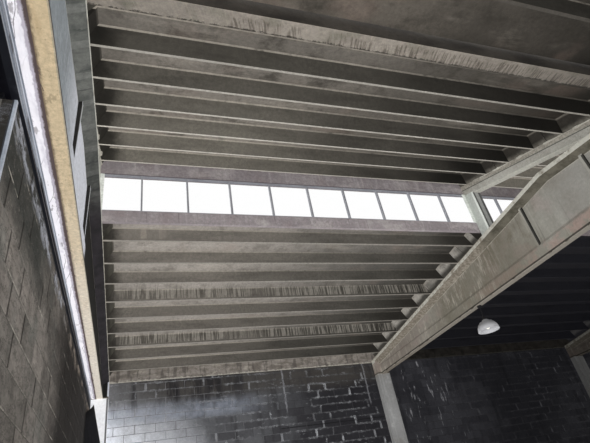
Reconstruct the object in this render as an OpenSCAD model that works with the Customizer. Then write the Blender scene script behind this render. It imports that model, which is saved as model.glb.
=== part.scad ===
// Precast concrete workshop hall: columns, double-pitch girders, ribbed roof units with a
// raised north-light clerestory in every bay, block walls and a sliding door in the left gable.
// X runs along the hall, Y across it from the near wall to the far wall, Z is up.
// The origin is on the ground under the ridge, in the middle of the hall.

/* [Hall] */
// Number of bays
bays = 3; // [2:1:5]
// Length of one bay, girder axis to girder axis
bay_l = 8000; // [6000:50:9000]
// Clear width between the faces of the near and far columns
clear_w = 15660; // [14000:20:17500]
// Height of the girder seats above the ground
seat_h = 4950; // [4750:10:6000]

/* [Columns] */
// Side of a square column
column_w = 400; // [300:10:500]

/* [Girders] */
// Depth of a girder under the ridge
ridge_d = 1350; // [1250:10:1600]
// Fall of the girder's top, as rise over run
roof_fall = 0.11; // [0.08:0.005:0.115]
// Width of the top flange
flange_w = 400; // [340:10:500]
// Thickness of the flange at its edge
flange_edge = 85; // [60:5:110]
// Thickness of the flange at the web
flange_root = 165; // [115:5:200]
// Thickness of the web
web_t = 80; // [60:5:125]
// Width of the girder's foot
foot_w = 145; // [130:5:220]
// Height of the foot's upright side
foot_h = 235; // [180:5:280]
// Height of the foot's sloping shoulder
foot_slope = 60; // [30:5:120]
// Distance of a stiffener from the ridge
stiffener_y = 790; // [600:10:1000]
// Thickness of a stiffener
stiffener_t = 80; // [50:5:120]
// Lower end of a stiffener above the girder's seat
stiffener_foot = 200; // [120:5:270]
// Width across a stiffener at the flange
stiffener_top_w = 170; // [150:10:260]

/* [Roof units] */
// Spacing of the ribs along the slope
rib_pitch = 655; // [600:5:700]
// Depth of a rib below the slab
rib_d = 250; // [200:5:300]
// Width of a rib at its bottom
rib_w = 44; // [36:2:80]
// Width of a rib at the slab
rib_root = 110; // [90:5:140]
// Thickness of the slab
slab_t = 50; // [40:5:80]
// Length of the sloping end diaphragm
hip_l = 150; // [80:10:350]
// Joint between neighbouring units
joint = 10; // [4:1:16]
// How far the slab passes the outer face of a gable wall
verge = 200; // [160:10:300]
// How far the roof passes the outer face of the near and far walls
eave = 150; // [80:10:300]

/* [Clerestory] */
// Distance of the window's middle from the ridge
window_y = 1960; // [1800:10:2100]
// Height of the glazed band
glass_h = 790; // [600:10:900]
// Top of the sill above the top of the flat roof units
sill_rise = 100; // [80:2:200]
// Depth of the head above the glass, down to the underside of the ribs
head_cover = 216; // [200:2:320]
// Fall of the raised roof, as rise over run
shed_fall = 0.332; // [0.3:0.002:0.36]
// Width of a raised frame's post and beam
frame_w = 200; // [160:10:360]
// Depth of a raised beam, measured upright
frame_d = 260; // [200:10:320]
// Depth of a post across the hall
post_d = 270; // [180:10:320]
// Distance of the raised roof's top rib from the window's middle
top_rib_in = 220; // [180:5:260]
// Width of the edge beam where the raised roof meets the near slope
edge_beam_w = 250; // [150:10:300]
// Number of panes in a bay
panes = 10; // [6:1:14]
// Width of an upright window bar
bar_w = 30; // [20:1:60]
// Height of the window frame's lower and upper bar
edge_bar_h = 12; // [8:1:40]
// Thickness of the window frame
bar_t = 60; // [40:5:80]
// Thickness of the glass
glass_t = 8; // [5:1:12]

/* [Walls] */
// Thickness of the block walls
wall_t = 200; // [150:10:250]
// Underside of the eave beams above the girder seats
eave_beam_up = 410; // [300:5:430]
// Top of the left block wall below the girder seats
left_wall_drop = 260; // [220:10:350]
// Height of the dark packing on top of the left wall
packing_h = 80; // [40:5:100]
// Height of the lintel that carries the rails
lintel_h = 230; // [190:5:260]

/* [Sliding door] */
// Clear width of the doorway
door_w = 4000; // [3000:50:4500]
// Far jamb of the doorway, from the ridge towards the near wall
door_far_y = 2020; // [1900:10:2400]
// How far the leaf laps past each jamb
door_lap = 100; // [60:5:150]
// Thickness of the leaf
leaf_t = 60; // [40:5:80]
// Gap between the leaf and the wall, and between the leaf and the ground
leaf_gap = 30; // [15:1:50]
// Diameter of a trolley wheel
wheel_d = 56; // [50:2:64]
// Width of the door's track
track_w = 80; // [76:2:110]

/* [Lamp] */
// Diameter of the lamp's dome
lamp_d = 450; // [300:10:600]
// Drop of the dome's rim below the girder
lamp_drop = 570; // [450:10:700]
// Distance of the lamp beyond the ridge
lamp_y = 2950; // [2000:50:4000]

/* [Hidden] */
// Play between a sloping seat and the piece that lies on it
seat_gap = 0.3;
// How far a cutting body passes the face that it cuts
overrun = 1;
// Place of the first rib in the half unit behind the window, as a share of the rib pitch
first_rib_share = 0.33;
// Place of the last rib in the wide unit beside the edge beam, as a share of the rib pitch
wide_rib_share = 0.27;
// Least room between the last whole unit and the long wall
last_unit_room = 40;
// Window sill and head: the lip inside, and how far each passes the window outside
sill_lip_t = 60;
sill_lip_cover = 80;
sill_tail = 100;
head_tail = 40;
shed_over = 150;
cheek_t = 80;
// Zinc rails on the lintel, and the boards over them
rail_w = 60;
rail_gap = 14;
rail_lip = 5;
rail_mouth = 0.4;
board_t = 12;
board_up = 14;
board_edge = 16;
// Door frame, track and trolleys
angle_w = 25;
angle_t = 6;
leaf_cover = 40;
track_t = 5;
slot_w = 26;
brackets = 9;
bracket_w = 80;
bracket_in = 200;
roller_gap = 0.3;
wheel_room = 22;
wheel_play = 3;
bolt_d = 16;
axle_d = 14;
trolley_in = 500;
// Lamp: outline of the dome from its rim to its cap, as shares of its radius and its rise
lamp_outline = [[1, 0], [0.99, 0.14], [0.94, 0.37], [0.82, 0.58], [0.62, 0.76], [0.38, 0.87], [0.26, 1]];
lamp_wall = 4;
lamp_rise = 240;
lamp_foot_d = 90;
lamp_foot_t = 12;
lamp_tube_d = 22;
bulb_d = 84;
bulb_cap_d = 40;
bulb_z = 70;

// Plan
hall_l = bays * bay_l;
column_y = clear_w / 2;
wall_out_y = column_y + column_w;
wall_in_y = wall_out_y - wall_t;
gable_in = hall_l / 2 + flange_w / 2;
gable_out = gable_in + wall_t;
verge_x = gable_out + verge;
eave_y = wall_out_y + eave;

// Levels
ridge_z = seat_h + ridge_d;
roof_angle = atan(roof_fall);
shed_angle = atan(shed_fall);
soffit_up = rib_d / cos(roof_angle);
slab_up = (rib_d + slab_t) / cos(roof_angle);
eave_beam_z = seat_h + eave_beam_up;
left_wall_h = seat_h - left_wall_drop;
lintel_z = left_wall_h + packing_h;
lintel_top = lintel_z + lintel_h;

// Clerestory
window_in = window_y - bar_t / 2;
window_out = window_y + bar_t / 2;
sill_back = window_out + sill_tail;
sill_lip_z = roof_z(window_in) + rib_d - sill_lip_cover;
sill_z = roof_z(window_in) + slab_up + sill_rise;
glass_top = sill_z + glass_h;
shed_ref_z = glass_top + head_cover;
first_rib_y = window_in + sill_lip_t + rib_pitch * first_rib_share;
flat_edge_y = window_in + sill_lip_t + joint;
shed_edge_y = window_out + shed_over;
post_y = window_in - post_d;
raised_units = 3;

// Where the raised roof runs out on the near slope: its whole units end, the edge beam lies
// beyond one more half coffer, and the raised beam's underside meets the girder
top_rib_y = window_y - top_rib_in;
raised_end_y = top_rib_y - (2 * raised_units - 0.5) * rib_pitch * cos(shed_angle);
edge_slab_y = raised_end_y - (rib_d + slab_t) * sin(shed_angle) - joint;
edge_beam_y = raised_end_y - rib_pitch * cos(shed_angle) / 2;
near_edge_y = -(edge_beam_y - edge_beam_w);
heel_y = -(shed_z(0) - frame_d - ridge_z) / (shed_fall - roof_fall);

// Door
door_near_y = door_far_y + door_w;
leaf_in = gable_out + leaf_gap;
leaf_l = door_w + 2 * door_lap;
leaf_top = lintel_z + leaf_cover;
track_z = leaf_top + leaf_gap;
track_h = wheel_d + wheel_room;
track_in = leaf_in + leaf_t / 2 - track_w / 2;

function grid_x(i) = -hall_l / 2 + i * bay_l;
function roof_z(y) = ridge_z - roof_fall * abs(y);
function shed_z(y) = shed_ref_z + shed_fall * (y - window_in);
function bay_left(i) = i == 0 ? -verge_x : grid_x(i) + joint / 2;
function bay_right(i) = i == bays - 1 ? verge_x : grid_x(i + 1) - joint / 2;
function block_left(i) = i == 0 ? -gable_out : grid_x(i) + joint / 2;
function block_right(i) = i == bays - 1 ? gable_out : grid_x(i + 1) - joint / 2;

// Extrudes an outline drawn in Y and Z along X, from x0 to x1
module along_x(x0, x1) {
    translate([x0, 0, 0]) rotate([90, 0, 90]) linear_extrude(x1 - x0) children();
}

// Extrudes an outline drawn in X and Z along Y, from y0 to y1
module along_y(y0, y1) {
    translate([0, y1, 0]) rotate([90, 0, 0]) linear_extrude(y1 - y0) children();
}

module box(x0, x1, y0, y1, z0, z1) {
    translate([x0, y0, z0]) cube([x1 - x0, y1 - y0, z1 - z0]);
}

module column(x, y) {
    box(x - column_w / 2, x + column_w / 2, y, y + column_w, 0, seat_h);
}

module columns() {
    color([0.6, 0.6, 0.58]) for (i = [0 : bays], y = [column_y, -wall_out_y])
        column(grid_x(i), y);
}

// One half of the girder's top flange, from the ridge down towards the far wall
module flange_half() {
    reach = wall_out_y / cos(roof_angle);
    intersection() {
        translate([0, 0, ridge_z]) rotate([-roof_angle, 0, 0]) along_y(-flange_root, reach)
            polygon([[-flange_w / 2, 0], [flange_w / 2, 0], [flange_w / 2, -flange_edge],
                     [web_t / 2, -flange_root], [-web_t / 2, -flange_root],
                     [-flange_w / 2, -flange_edge]]);
        box(-flange_w, flange_w, 0, wall_out_y, seat_h, ridge_z + overrun);
    }
}

// A rib across the web that runs from the flange down into the foot
module stiffener(y) {
    top = roof_z(y) - flange_edge / 2;
    low = seat_h + stiffener_foot;
    low_w = foot_w - 10;
    along_y(y - stiffener_t / 2, y + stiffener_t / 2)
        polygon([[-stiffener_top_w / 2, top], [stiffener_top_w / 2, top],
                 [low_w / 2, low], [-low_w / 2, low]]);
}

module girder(i) {
    color([0.56, 0.55, 0.52]) translate([grid_x(i), 0, 0]) {
        flange_half();
        mirror([0, 1, 0]) flange_half();
        along_x(-web_t / 2, web_t / 2)
            polygon([[-wall_out_y, seat_h + foot_h], [wall_out_y, seat_h + foot_h],
                     [wall_out_y, roof_z(wall_out_y) - flange_edge],
                     [0, ridge_z - flange_root],
                     [-wall_out_y, roof_z(wall_out_y) - flange_edge]]);
        along_y(-wall_out_y, wall_out_y)
            polygon([[-foot_w / 2, seat_h], [foot_w / 2, seat_h],
                     [foot_w / 2, seat_h + foot_h],
                     [web_t / 2, seat_h + foot_h + foot_slope],
                     [-web_t / 2, seat_h + foot_h + foot_slope],
                     [-foot_w / 2, seat_h + foot_h]]);
        for (side = [-1, 1]) {
            stiffener(side * stiffener_y);
            y0 = side > 0 ? column_y : -wall_out_y;
            along_x(-column_w / 2, column_w / 2)
                polygon([[y0, seat_h], [y0 + column_w, seat_h],
                         [y0 + column_w, roof_z(y0 + column_w)], [y0, roof_z(y0)]]);
        }
    }
}

// Post and sloping beam that lift the clerestory roof above the girder
module raised_frame(i) {
    color([0.74, 0.74, 0.7]) translate([grid_x(i), 0, 0])
        along_x(-frame_w / 2, frame_w / 2)
            polygon([[-near_edge_y, shed_z(-near_edge_y)],
                     [-near_edge_y, roof_z(near_edge_y) + seat_gap],
                     [heel_y, roof_z(heel_y) + seat_gap], [post_y, shed_z(post_y) - frame_d],
                     [post_y, roof_z(post_y) + seat_gap],
                     [window_in, roof_z(window_in) + seat_gap], [window_in, shed_z(window_in)]]);
}

// Sloping diaphragms that close both ends of a unit, between s0 and s1 along the slope
module end_diaphragms(s0, s1, i, seat_w) {
    along_y(s0, s1) {
        polygon([[block_left(i), 0], [grid_x(i) + seat_w / 2, 0],
                 [grid_x(i) + seat_w / 2 + hip_l, rib_d], [block_left(i), rib_d]]);
        polygon([[block_right(i), 0], [grid_x(i + 1) - seat_w / 2, 0],
                 [grid_x(i + 1) - seat_w / 2 - hip_l, rib_d], [block_right(i), rib_d]]);
    }
}

// Ribbed roof unit in the plane of its slope: s runs along the slope, x along the bay, and
// the ribs stand on z = 0
module roof_unit(s0, s1, ribs, i, seat_w, ends_from) {
    along_x(bay_left(i), bay_right(i))
        translate([s0, rib_d]) square([s1 - s0, slab_t]);
    for (s = ribs)
        along_x(block_left(i), block_right(i))
            polygon([[s - rib_w / 2, 0], [s + rib_w / 2, 0],
                     [s + rib_root / 2, rib_d], [s - rib_root / 2, rib_d]]);
    end_diaphragms(max(s0, ends_from), s1, i, seat_w);
}

// Whole units with two ribs each, one after the other down the slope
module unit_row(start, count, i, seat_w) {
    for (k = [0 : count - 1]) {
        s = start + 2 * k * rib_pitch;
        roof_unit(s + joint / 2, s + 2 * rib_pitch - joint / 2,
                  [s + rib_pitch / 2, s + 1.5 * rib_pitch], i, seat_w, s);
    }
}

// Flat slopes: where the half unit ends, how many whole units follow, and where they end
half_end_s = first_rib_y / cos(roof_angle) + rib_pitch / 2;
flat_units = floor((wall_in_y / cos(roof_angle) - half_end_s - last_unit_room)
                   / (2 * rib_pitch));
flat_end_s = half_end_s + 2 * flat_units * rib_pitch;

module flat_frame() {
    translate([0, 0, ridge_z]) rotate([-roof_angle, 0, 0]) children();
}

module far_roof(i) {
    color([0.5, 0.49, 0.46]) flat_frame() {
        edge_s = flat_edge_y / cos(roof_angle);
        roof_unit(edge_s, half_end_s - joint / 2, [half_end_s - rib_pitch / 2], i, flange_w,
                  edge_s);
        unit_row(half_end_s, flat_units, i, flange_w);
    }
}

// Mirror of the far slope, but for a wider first unit beside the edge beam
module near_roof(i) {
    color([0.5, 0.49, 0.46]) mirror([0, 1, 0]) flat_frame() {
        edge_s = (near_edge_y + joint) / cos(roof_angle);
        wide_end_s = half_end_s + 2 * rib_pitch;
        roof_unit(edge_s, wide_end_s - joint / 2,
                  [wide_end_s - (1 + wide_rib_share) * rib_pitch,
                   wide_end_s - wide_rib_share * rib_pitch], i, flange_w, edge_s);
        unit_row(wide_end_s, flat_units - 1, i, flange_w);
    }
}

module raised_slope() {
    translate([0, window_in, shed_ref_z]) rotate([shed_angle, 0, 0])
        mirror([0, 1, 0]) children();
}

// Raised roof, drawn from its upper edge over the window down to the near slope
module raised_roof(i) {
    top_s = -(shed_edge_y - window_in) / cos(shed_angle);
    first_s = (window_in - top_rib_y) / cos(shed_angle);
    color([0.42, 0.41, 0.38]) raised_slope() {
        roof_unit(top_s, first_s + 1.5 * rib_pitch - joint / 2,
                  [first_s, first_s + rib_pitch], i, frame_w, 0);
        unit_row(first_s + 1.5 * rib_pitch, raised_units - 1, i, frame_w);
    }
}

// Unit with the wide edge beam where the raised roof meets the near slope, cut upright at
// both of its long edges
module roof_edge_beams() {
    reach = 2 * near_edge_y + window_in;
    beam_s = (window_in - edge_beam_y) / cos(shed_angle);
    color([0.66, 0.64, 0.6]) for (i = [0 : bays - 1]) intersection() {
        raised_slope() {
            along_x(bay_left(i), bay_right(i)) translate([0, rib_d]) square([reach, slab_t]);
            along_x(block_left(i), block_right(i))
                translate([beam_s, 0]) square([reach - beam_s, rib_d]);
            end_diaphragms(0, reach, i, frame_w);
        }
        box(-verge_x - overrun, verge_x + overrun, -near_edge_y, edge_slab_y, seat_h, 2 * ridge_z);
    }
}

// Point of the far slope: s down the slope from the ridge, n square to it
function slope_point(s, n) = [s * cos(roof_angle) + n * sin(roof_angle),
                              ridge_z - s * sin(roof_angle) + n * cos(roof_angle)];

// Beam on top of the far wall, with the slab and end blocks that close the roof to the eave
module eave_row() {
    s0 = flat_end_s + joint / 2;
    for (i = [0 : bays - 1]) {
        along_x(grid_x(i) + column_w / 2, grid_x(i + 1) - column_w / 2)
            polygon([[wall_in_y, eave_beam_z], [wall_out_y, eave_beam_z],
                     [wall_out_y, roof_z(wall_out_y) + soffit_up],
                     [wall_in_y, roof_z(wall_in_y) + soffit_up]]);
        along_x(bay_left(i), bay_right(i))
            polygon([slope_point(s0, rib_d), [eave_y, roof_z(eave_y) + soffit_up],
                     [eave_y, roof_z(eave_y) + slab_up], slope_point(s0, rib_d + slab_t)]);
        for (x = [[block_left(i), grid_x(i) + flange_w / 2],
                  [grid_x(i + 1) - flange_w / 2, block_right(i)]])
            along_x(x[0], x[1])
                polygon([slope_point(s0, seat_gap),
                         [wall_out_y, roof_z(wall_out_y) + seat_gap],
                         [wall_out_y, roof_z(wall_out_y) + soffit_up],
                         slope_point(s0, rib_d)]);
    }
}

module eave_beams() {
    color([0.62, 0.61, 0.58]) for (side = [0, 1])
        mirror([0, side, 0]) eave_row();
}

module long_wall(i) {
    color([0.3, 0.3, 0.31])
        box(grid_x(i) + column_w / 2, grid_x(i + 1) - column_w / 2, wall_in_y, wall_out_y,
            0, eave_beam_z);
}

module window_sills() {
    color([0.5, 0.48, 0.48]) for (i = [0 : bays - 1])
        along_x(bay_left(i), bay_right(i))
            polygon([[window_in, sill_lip_z], [window_in + sill_lip_t, sill_lip_z],
                     [window_in + sill_lip_t, roof_z(window_in + sill_lip_t) + slab_up + seat_gap],
                     [sill_back, roof_z(sill_back) + slab_up + seat_gap], [sill_back, sill_z],
                     [window_in, sill_z]]);
}

module window_heads() {
    up = rib_d / cos(shed_angle) - seat_gap;
    head_out = window_out + head_tail;
    color([0.42, 0.4, 0.43]) for (i = [0 : bays - 1])
        along_x(block_left(i), block_right(i))
            polygon([[window_in, glass_top], [head_out, glass_top],
                     [head_out, shed_z(head_out) + up],
                     [window_in, shed_z(window_in) + up]]);
}

module window_frames() {
    pane = bay_l / panes;
    color([0.6, 0.62, 0.64]) for (i = [0 : bays - 1])
        difference() {
            box(block_left(i), block_right(i), window_in, window_out, sill_z, glass_top);
            for (k = [0 : panes - 1])
                box(grid_x(i) + k * pane + bar_w / 2, grid_x(i) + (k + 1) * pane - bar_w / 2,
                    window_in - overrun, window_out + overrun,
                    sill_z + edge_bar_h, glass_top - edge_bar_h);
        }
}

module window_glass() {
    pane = bay_l / panes;
    color([0.9, 0.95, 1, 0.4]) for (i = [0 : bays - 1], k = [0 : panes - 1])
        box(grid_x(i) + k * pane + bar_w / 2, grid_x(i) + (k + 1) * pane - bar_w / 2,
            window_y - glass_t / 2, window_y + glass_t / 2,
            sill_z + edge_bar_h, glass_top - edge_bar_h);
}

// Triangular panels that close the raised roof at the two gables
module raised_cheeks() {
    color([0.5, 0.5, 0.48]) for (side = [-1, 1])
        along_x(side * hall_l / 2 - cheek_t / 2, side * hall_l / 2 + cheek_t / 2)
            polygon([[0, ridge_z + seat_gap], [post_y, roof_z(post_y) + seat_gap],
                     [post_y, shed_z(post_y) - frame_d - seat_gap],
                     [heel_y, roof_z(heel_y) + seat_gap]]);
}

// The left gable's block wall, on both sides of the doorway
module left_wall() {
    color([0.36, 0.35, 0.34]) {
        box(-gable_out, -gable_in, -door_far_y, wall_out_y, 0, left_wall_h);
        box(-gable_out, -gable_in, -wall_out_y, -door_near_y, 0, left_wall_h);
    }
}

module left_wall_packing() {
    color([0.04, 0.04, 0.04]) {
        box(-gable_out, -gable_in - wall_t / 2, -door_far_y, wall_out_y, left_wall_h, lintel_z);
        box(-gable_out, -gable_in - wall_t / 2, -wall_out_y, -door_near_y, left_wall_h, lintel_z);
    }
}

module left_lintel() {
    color([0.4, 0.4, 0.39])
        box(-gable_out, -gable_in - rail_w, -wall_out_y, wall_out_y, lintel_z, lintel_top);
}

// Two galvanised channels one above the other on the lintel, open to the inside of the hall
module left_rails() {
    rail_h = (lintel_h - rail_gap) / 2;
    turn = rail_h * (1 - rail_mouth) / 2;
    color([0.55, 0.58, 0.6]) for (z = [lintel_z, lintel_z + rail_h + rail_gap])
        along_y(-wall_out_y, wall_out_y) translate([-gable_in - rail_w, z])
            polygon([[0, 0], [rail_w, 0], [rail_w, turn],
                     [rail_w - rail_lip, turn], [rail_w - rail_lip, rail_lip],
                     [rail_lip, rail_lip], [rail_lip, rail_h - rail_lip],
                     [rail_w - rail_lip, rail_h - rail_lip],
                     [rail_w - rail_lip, rail_h - turn], [rail_w, rail_h - turn],
                     [rail_w, rail_h], [0, rail_h]]);
}

// White boards that close the gap between the upper rail and the girder's foot
module left_gap_boards() {
    foot_x = -hall_l / 2 - foot_w / 2;
    color([0.92, 0.91, 0.94]) along_y(-column_y, column_y)
        polygon([[-gable_in, lintel_top - board_edge], [foot_x, seat_h + board_up],
                 [foot_x, seat_h + board_up + board_t], [-gable_in, lintel_top]]);
}

module left_gable_top() {
    color([0.5, 0.5, 0.48]) along_x(-gable_out, -gable_in)
        polygon([[-wall_out_y, lintel_top], [wall_out_y, lintel_top],
                 [wall_out_y, roof_z(wall_out_y)], [0, ridge_z],
                 [-wall_out_y, roof_z(wall_out_y)]]);
}

module right_wall() {
    color([0.4, 0.4, 0.39]) along_x(gable_in, gable_out)
        polygon([[-wall_out_y, 0], [wall_out_y, 0], [wall_out_y, roof_z(wall_out_y)],
                 [0, ridge_z], [-wall_out_y, roof_z(wall_out_y)]]);
}

module jamb_angle(y, turn) {
    translate([-gable_in, y, 0]) mirror([0, turn, 0]) linear_extrude(left_wall_h)
        polygon([[-angle_w, 0], [0, 0], [0, angle_w], [angle_t, angle_w], [angle_t, -angle_t],
                 [-angle_w, -angle_t]]);
}

module door_jamb_angles() {
    color([0.75, 0.77, 0.8]) {
        jamb_angle(-door_far_y, 0);
        jamb_angle(-door_near_y, 1);
    }
}

// Inverted channel with a slot underneath, and the brackets that fix it to the lintel
module door_track() {
    y0 = -door_near_y - door_lap;
    y1 = -door_far_y + door_w + door_lap;
    lip = (track_w - slot_w) / 2;
    color([0.5, 0.52, 0.54]) {
        along_y(y0, y1) translate([-track_in - track_w, track_z])
            polygon([[0, 0], [lip, 0], [lip, track_t], [track_t, track_t],
                     [track_t, track_h - track_t], [track_w - track_t, track_h - track_t],
                     [track_w - track_t, track_t], [track_w - lip, track_t],
                     [track_w - lip, 0], [track_w, 0], [track_w, track_h], [0, track_h]]);
        for (k = [0 : brackets - 1])
            translate([0, y0 + bracket_in + k * (y1 - y0 - 2 * bracket_in) / (brackets - 1), 0])
                box(-track_in, -gable_out, -bracket_w / 2, bracket_w / 2,
                    track_z + track_h / 2, track_z + track_h);
    }
}

module door_leaf() {
    color([0.05, 0.06, 0.1])
        box(-leaf_in - leaf_t, -leaf_in, -door_near_y - door_lap, -door_far_y + door_lap,
            leaf_gap, leaf_top);
}

// Hanger bolt and a pair of wheels that run on the track's lips
module trolley(y) {
    x = -leaf_in - leaf_t / 2;
    axle_z = track_z + track_t + roller_gap + wheel_d / 2;
    wheel_w = (track_w - slot_w) / 2 - track_t - 2 * wheel_play;
    wheel_x = slot_w / 2 + wheel_play + wheel_w / 2;
    translate([x, y, 0]) {
        translate([0, 0, leaf_top]) cylinder(d = bolt_d, h = axle_z - leaf_top, $fn = 32);
        for (side = [-1, 1])
            translate([side * wheel_x - wheel_w / 2, 0, axle_z])
                rotate([0, 90, 0]) cylinder(d = wheel_d, h = wheel_w, $fn = 48);
        translate([-wheel_x, 0, axle_z]) rotate([0, 90, 0])
            cylinder(d = axle_d, h = 2 * wheel_x, $fn = 32);
    }
}

module door_trolleys() {
    color([0.4, 0.4, 0.42]) for (side = [-1, 1])
        trolley(-(door_far_y + door_near_y) / 2 + side * (leaf_l / 2 - trolley_in));
}

module lamp_rod() {
    rod_l = lamp_drop - lamp_rise;
    color([0.75, 0.75, 0.74]) translate([grid_x(1), lamp_y, seat_h]) {
        translate([0, 0, -lamp_foot_t]) cylinder(d = lamp_foot_d, h = lamp_foot_t, $fn = 48);
        translate([0, 0, -rod_l]) cylinder(d = lamp_tube_d, h = rod_l, $fn = 32);
    }
}

// Spun dome, open downwards
module lamp_dome() {
    r = lamp_d / 2;
    thin = 1 - lamp_wall / lamp_rise;
    outer = [for (p = lamp_outline) [p[0] * r, p[1] * lamp_rise]];
    inner = [for (k = [len(outer) - 1 : -1 : 0]) [outer[k][0] - lamp_wall, outer[k][1] * thin]];
    cap = [[0, lamp_rise], [0, lamp_rise - lamp_wall]];
    color([0.93, 0.94, 0.92]) translate([grid_x(1), lamp_y, seat_h - lamp_drop])
        rotate_extrude($fn = 96) polygon(concat(outer, cap, inner));
}

module lamp_bulb() {
    color([0.95, 0.95, 0.9]) translate([grid_x(1), lamp_y, seat_h - lamp_drop + bulb_z]) {
        sphere(d = bulb_d, $fn = 48);
        cylinder(d = bulb_cap_d, h = lamp_rise - lamp_wall - bulb_z, $fn = 48);
    }
}

columns();
for (i = [0 : bays]) {
    girder(i);
    raised_frame(i);
}
for (i = [0 : bays - 1]) {
    far_roof(i);
    near_roof(i);
    raised_roof(i);
    long_wall(i);
    mirror([0, 1, 0]) long_wall(i);
}
roof_edge_beams();
eave_beams();
window_sills();
window_heads();
window_frames();
window_glass();
left_wall();
left_wall_packing();
left_lintel();
left_rails();
left_gap_boards();
left_gable_top();
right_wall();
raised_cheeks();
door_jamb_angles();
door_track();
door_leaf();
door_trolleys();
lamp_rod();
lamp_dome();
lamp_bulb();
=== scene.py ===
"""Precast concrete workshop hall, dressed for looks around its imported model."""

import logging
import math
import random
from dataclasses import dataclass
from enum import Enum
from typing import Any, Dict, Iterator, List, Optional, Sequence, Tuple, Union

import bmesh
import bpy
from mathutils import Matrix, Vector, noise


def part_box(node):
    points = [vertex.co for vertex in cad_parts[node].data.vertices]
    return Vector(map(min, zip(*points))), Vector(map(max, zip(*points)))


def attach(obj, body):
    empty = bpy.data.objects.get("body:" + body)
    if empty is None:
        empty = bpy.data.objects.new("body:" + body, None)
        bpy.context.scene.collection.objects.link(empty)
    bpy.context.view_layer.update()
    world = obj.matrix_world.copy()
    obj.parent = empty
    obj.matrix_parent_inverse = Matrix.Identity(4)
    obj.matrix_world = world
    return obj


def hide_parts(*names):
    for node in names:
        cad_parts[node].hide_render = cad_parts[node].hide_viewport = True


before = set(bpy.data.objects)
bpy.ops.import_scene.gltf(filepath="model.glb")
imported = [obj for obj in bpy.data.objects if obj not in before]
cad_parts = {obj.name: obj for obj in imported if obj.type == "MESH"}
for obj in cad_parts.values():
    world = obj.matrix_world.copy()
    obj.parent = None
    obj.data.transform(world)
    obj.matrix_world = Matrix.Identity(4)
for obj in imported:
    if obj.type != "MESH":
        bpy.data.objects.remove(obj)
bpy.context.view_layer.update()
LOG = logging.getLogger("workshop_hall")

Tone = Tuple[float, float, float]
Number = Union[float, "Wire"]
Paint = Union[Tone, "Wire"]

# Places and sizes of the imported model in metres, and slopes as rise over run.
GRID = (-12.0, -4.0, 4.0, 12.0)   # girder axes
BAY = 8.0
SEAT = 4.95                       # underside of the girders
FOOT_TOP = 0.235                  # height of a girder's foot
WEB_FACE = 0.066                  # beyond the web's face and within a stiffener
FLANGE = 0.17                     # depth of a girder's flange below the roof units
FLANGE_HALF = 0.2
RIDGE = 6.3                       # plane of the low roofs' rib soles at the ridge
FALL = 0.11
FRAME_HALF = 0.1                  # half of a raised frame's width
POST_Y = 1.66                     # near face of a raised frame's post
WINDOW_IN = 1.93                  # near face of the window band
GLASS_LOW = 6.5015
GLASS_HIGH = 7.2675
SHED_REF = 7.4955                 # plane of the raised roof's rib soles at the window
SHED_FALL = 0.332
RIB_DEPTH = 0.25
RIB_PITCH = 0.655
EAVE_FOOT = 5.36                  # underside of the beams on the long walls
WALL_IN = 8.05                    # just past the long walls' inner faces
DOOR_FAR = -2.02
DOOR_NEAR = -6.02


def tone(red: float, green: float, blue: float) -> Tuple[float, float, float, float]:
    """Turns display values from 0 to 255 into a linear colour.

    Args:
        red: Red as it shows.
        green: Green as it shows.
        blue: Blue as it shows.

    Returns:
        The linear colour with an alpha of 1.
    """
    def linear(value: float) -> float:
        """Returns one channel in linear light."""
        share = value / 255
        return share / 12.92 if share <= 0.04045 else ((share + 0.055) / 1.055) ** 2.4
    return linear(red), linear(green), linear(blue), 1.0


def dimmed(shade: Tone, share: float) -> Tone:
    """Returns a share of a display colour."""
    return tuple(share * part for part in shade)


def inner_sides() -> Iterator[Tuple[int, float, int]]:
    """Gives each girder's number, its place and a side, but not the gables' outer sides."""
    for number, x in enumerate(GRID):
        for side in (-1, 1):
            if (number, side) not in ((0, -1), (3, 1)):
                yield number, x, side


class Facing(Enum):
    """Directions that a surface can look in, as an axis and a sign."""

    UP = (2, 1)
    DOWN = (2, -1)
    NEAR = (1, -1)
    FAR = (1, 1)
    LEFT = (0, -1)
    RIGHT = (0, 1)


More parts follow.
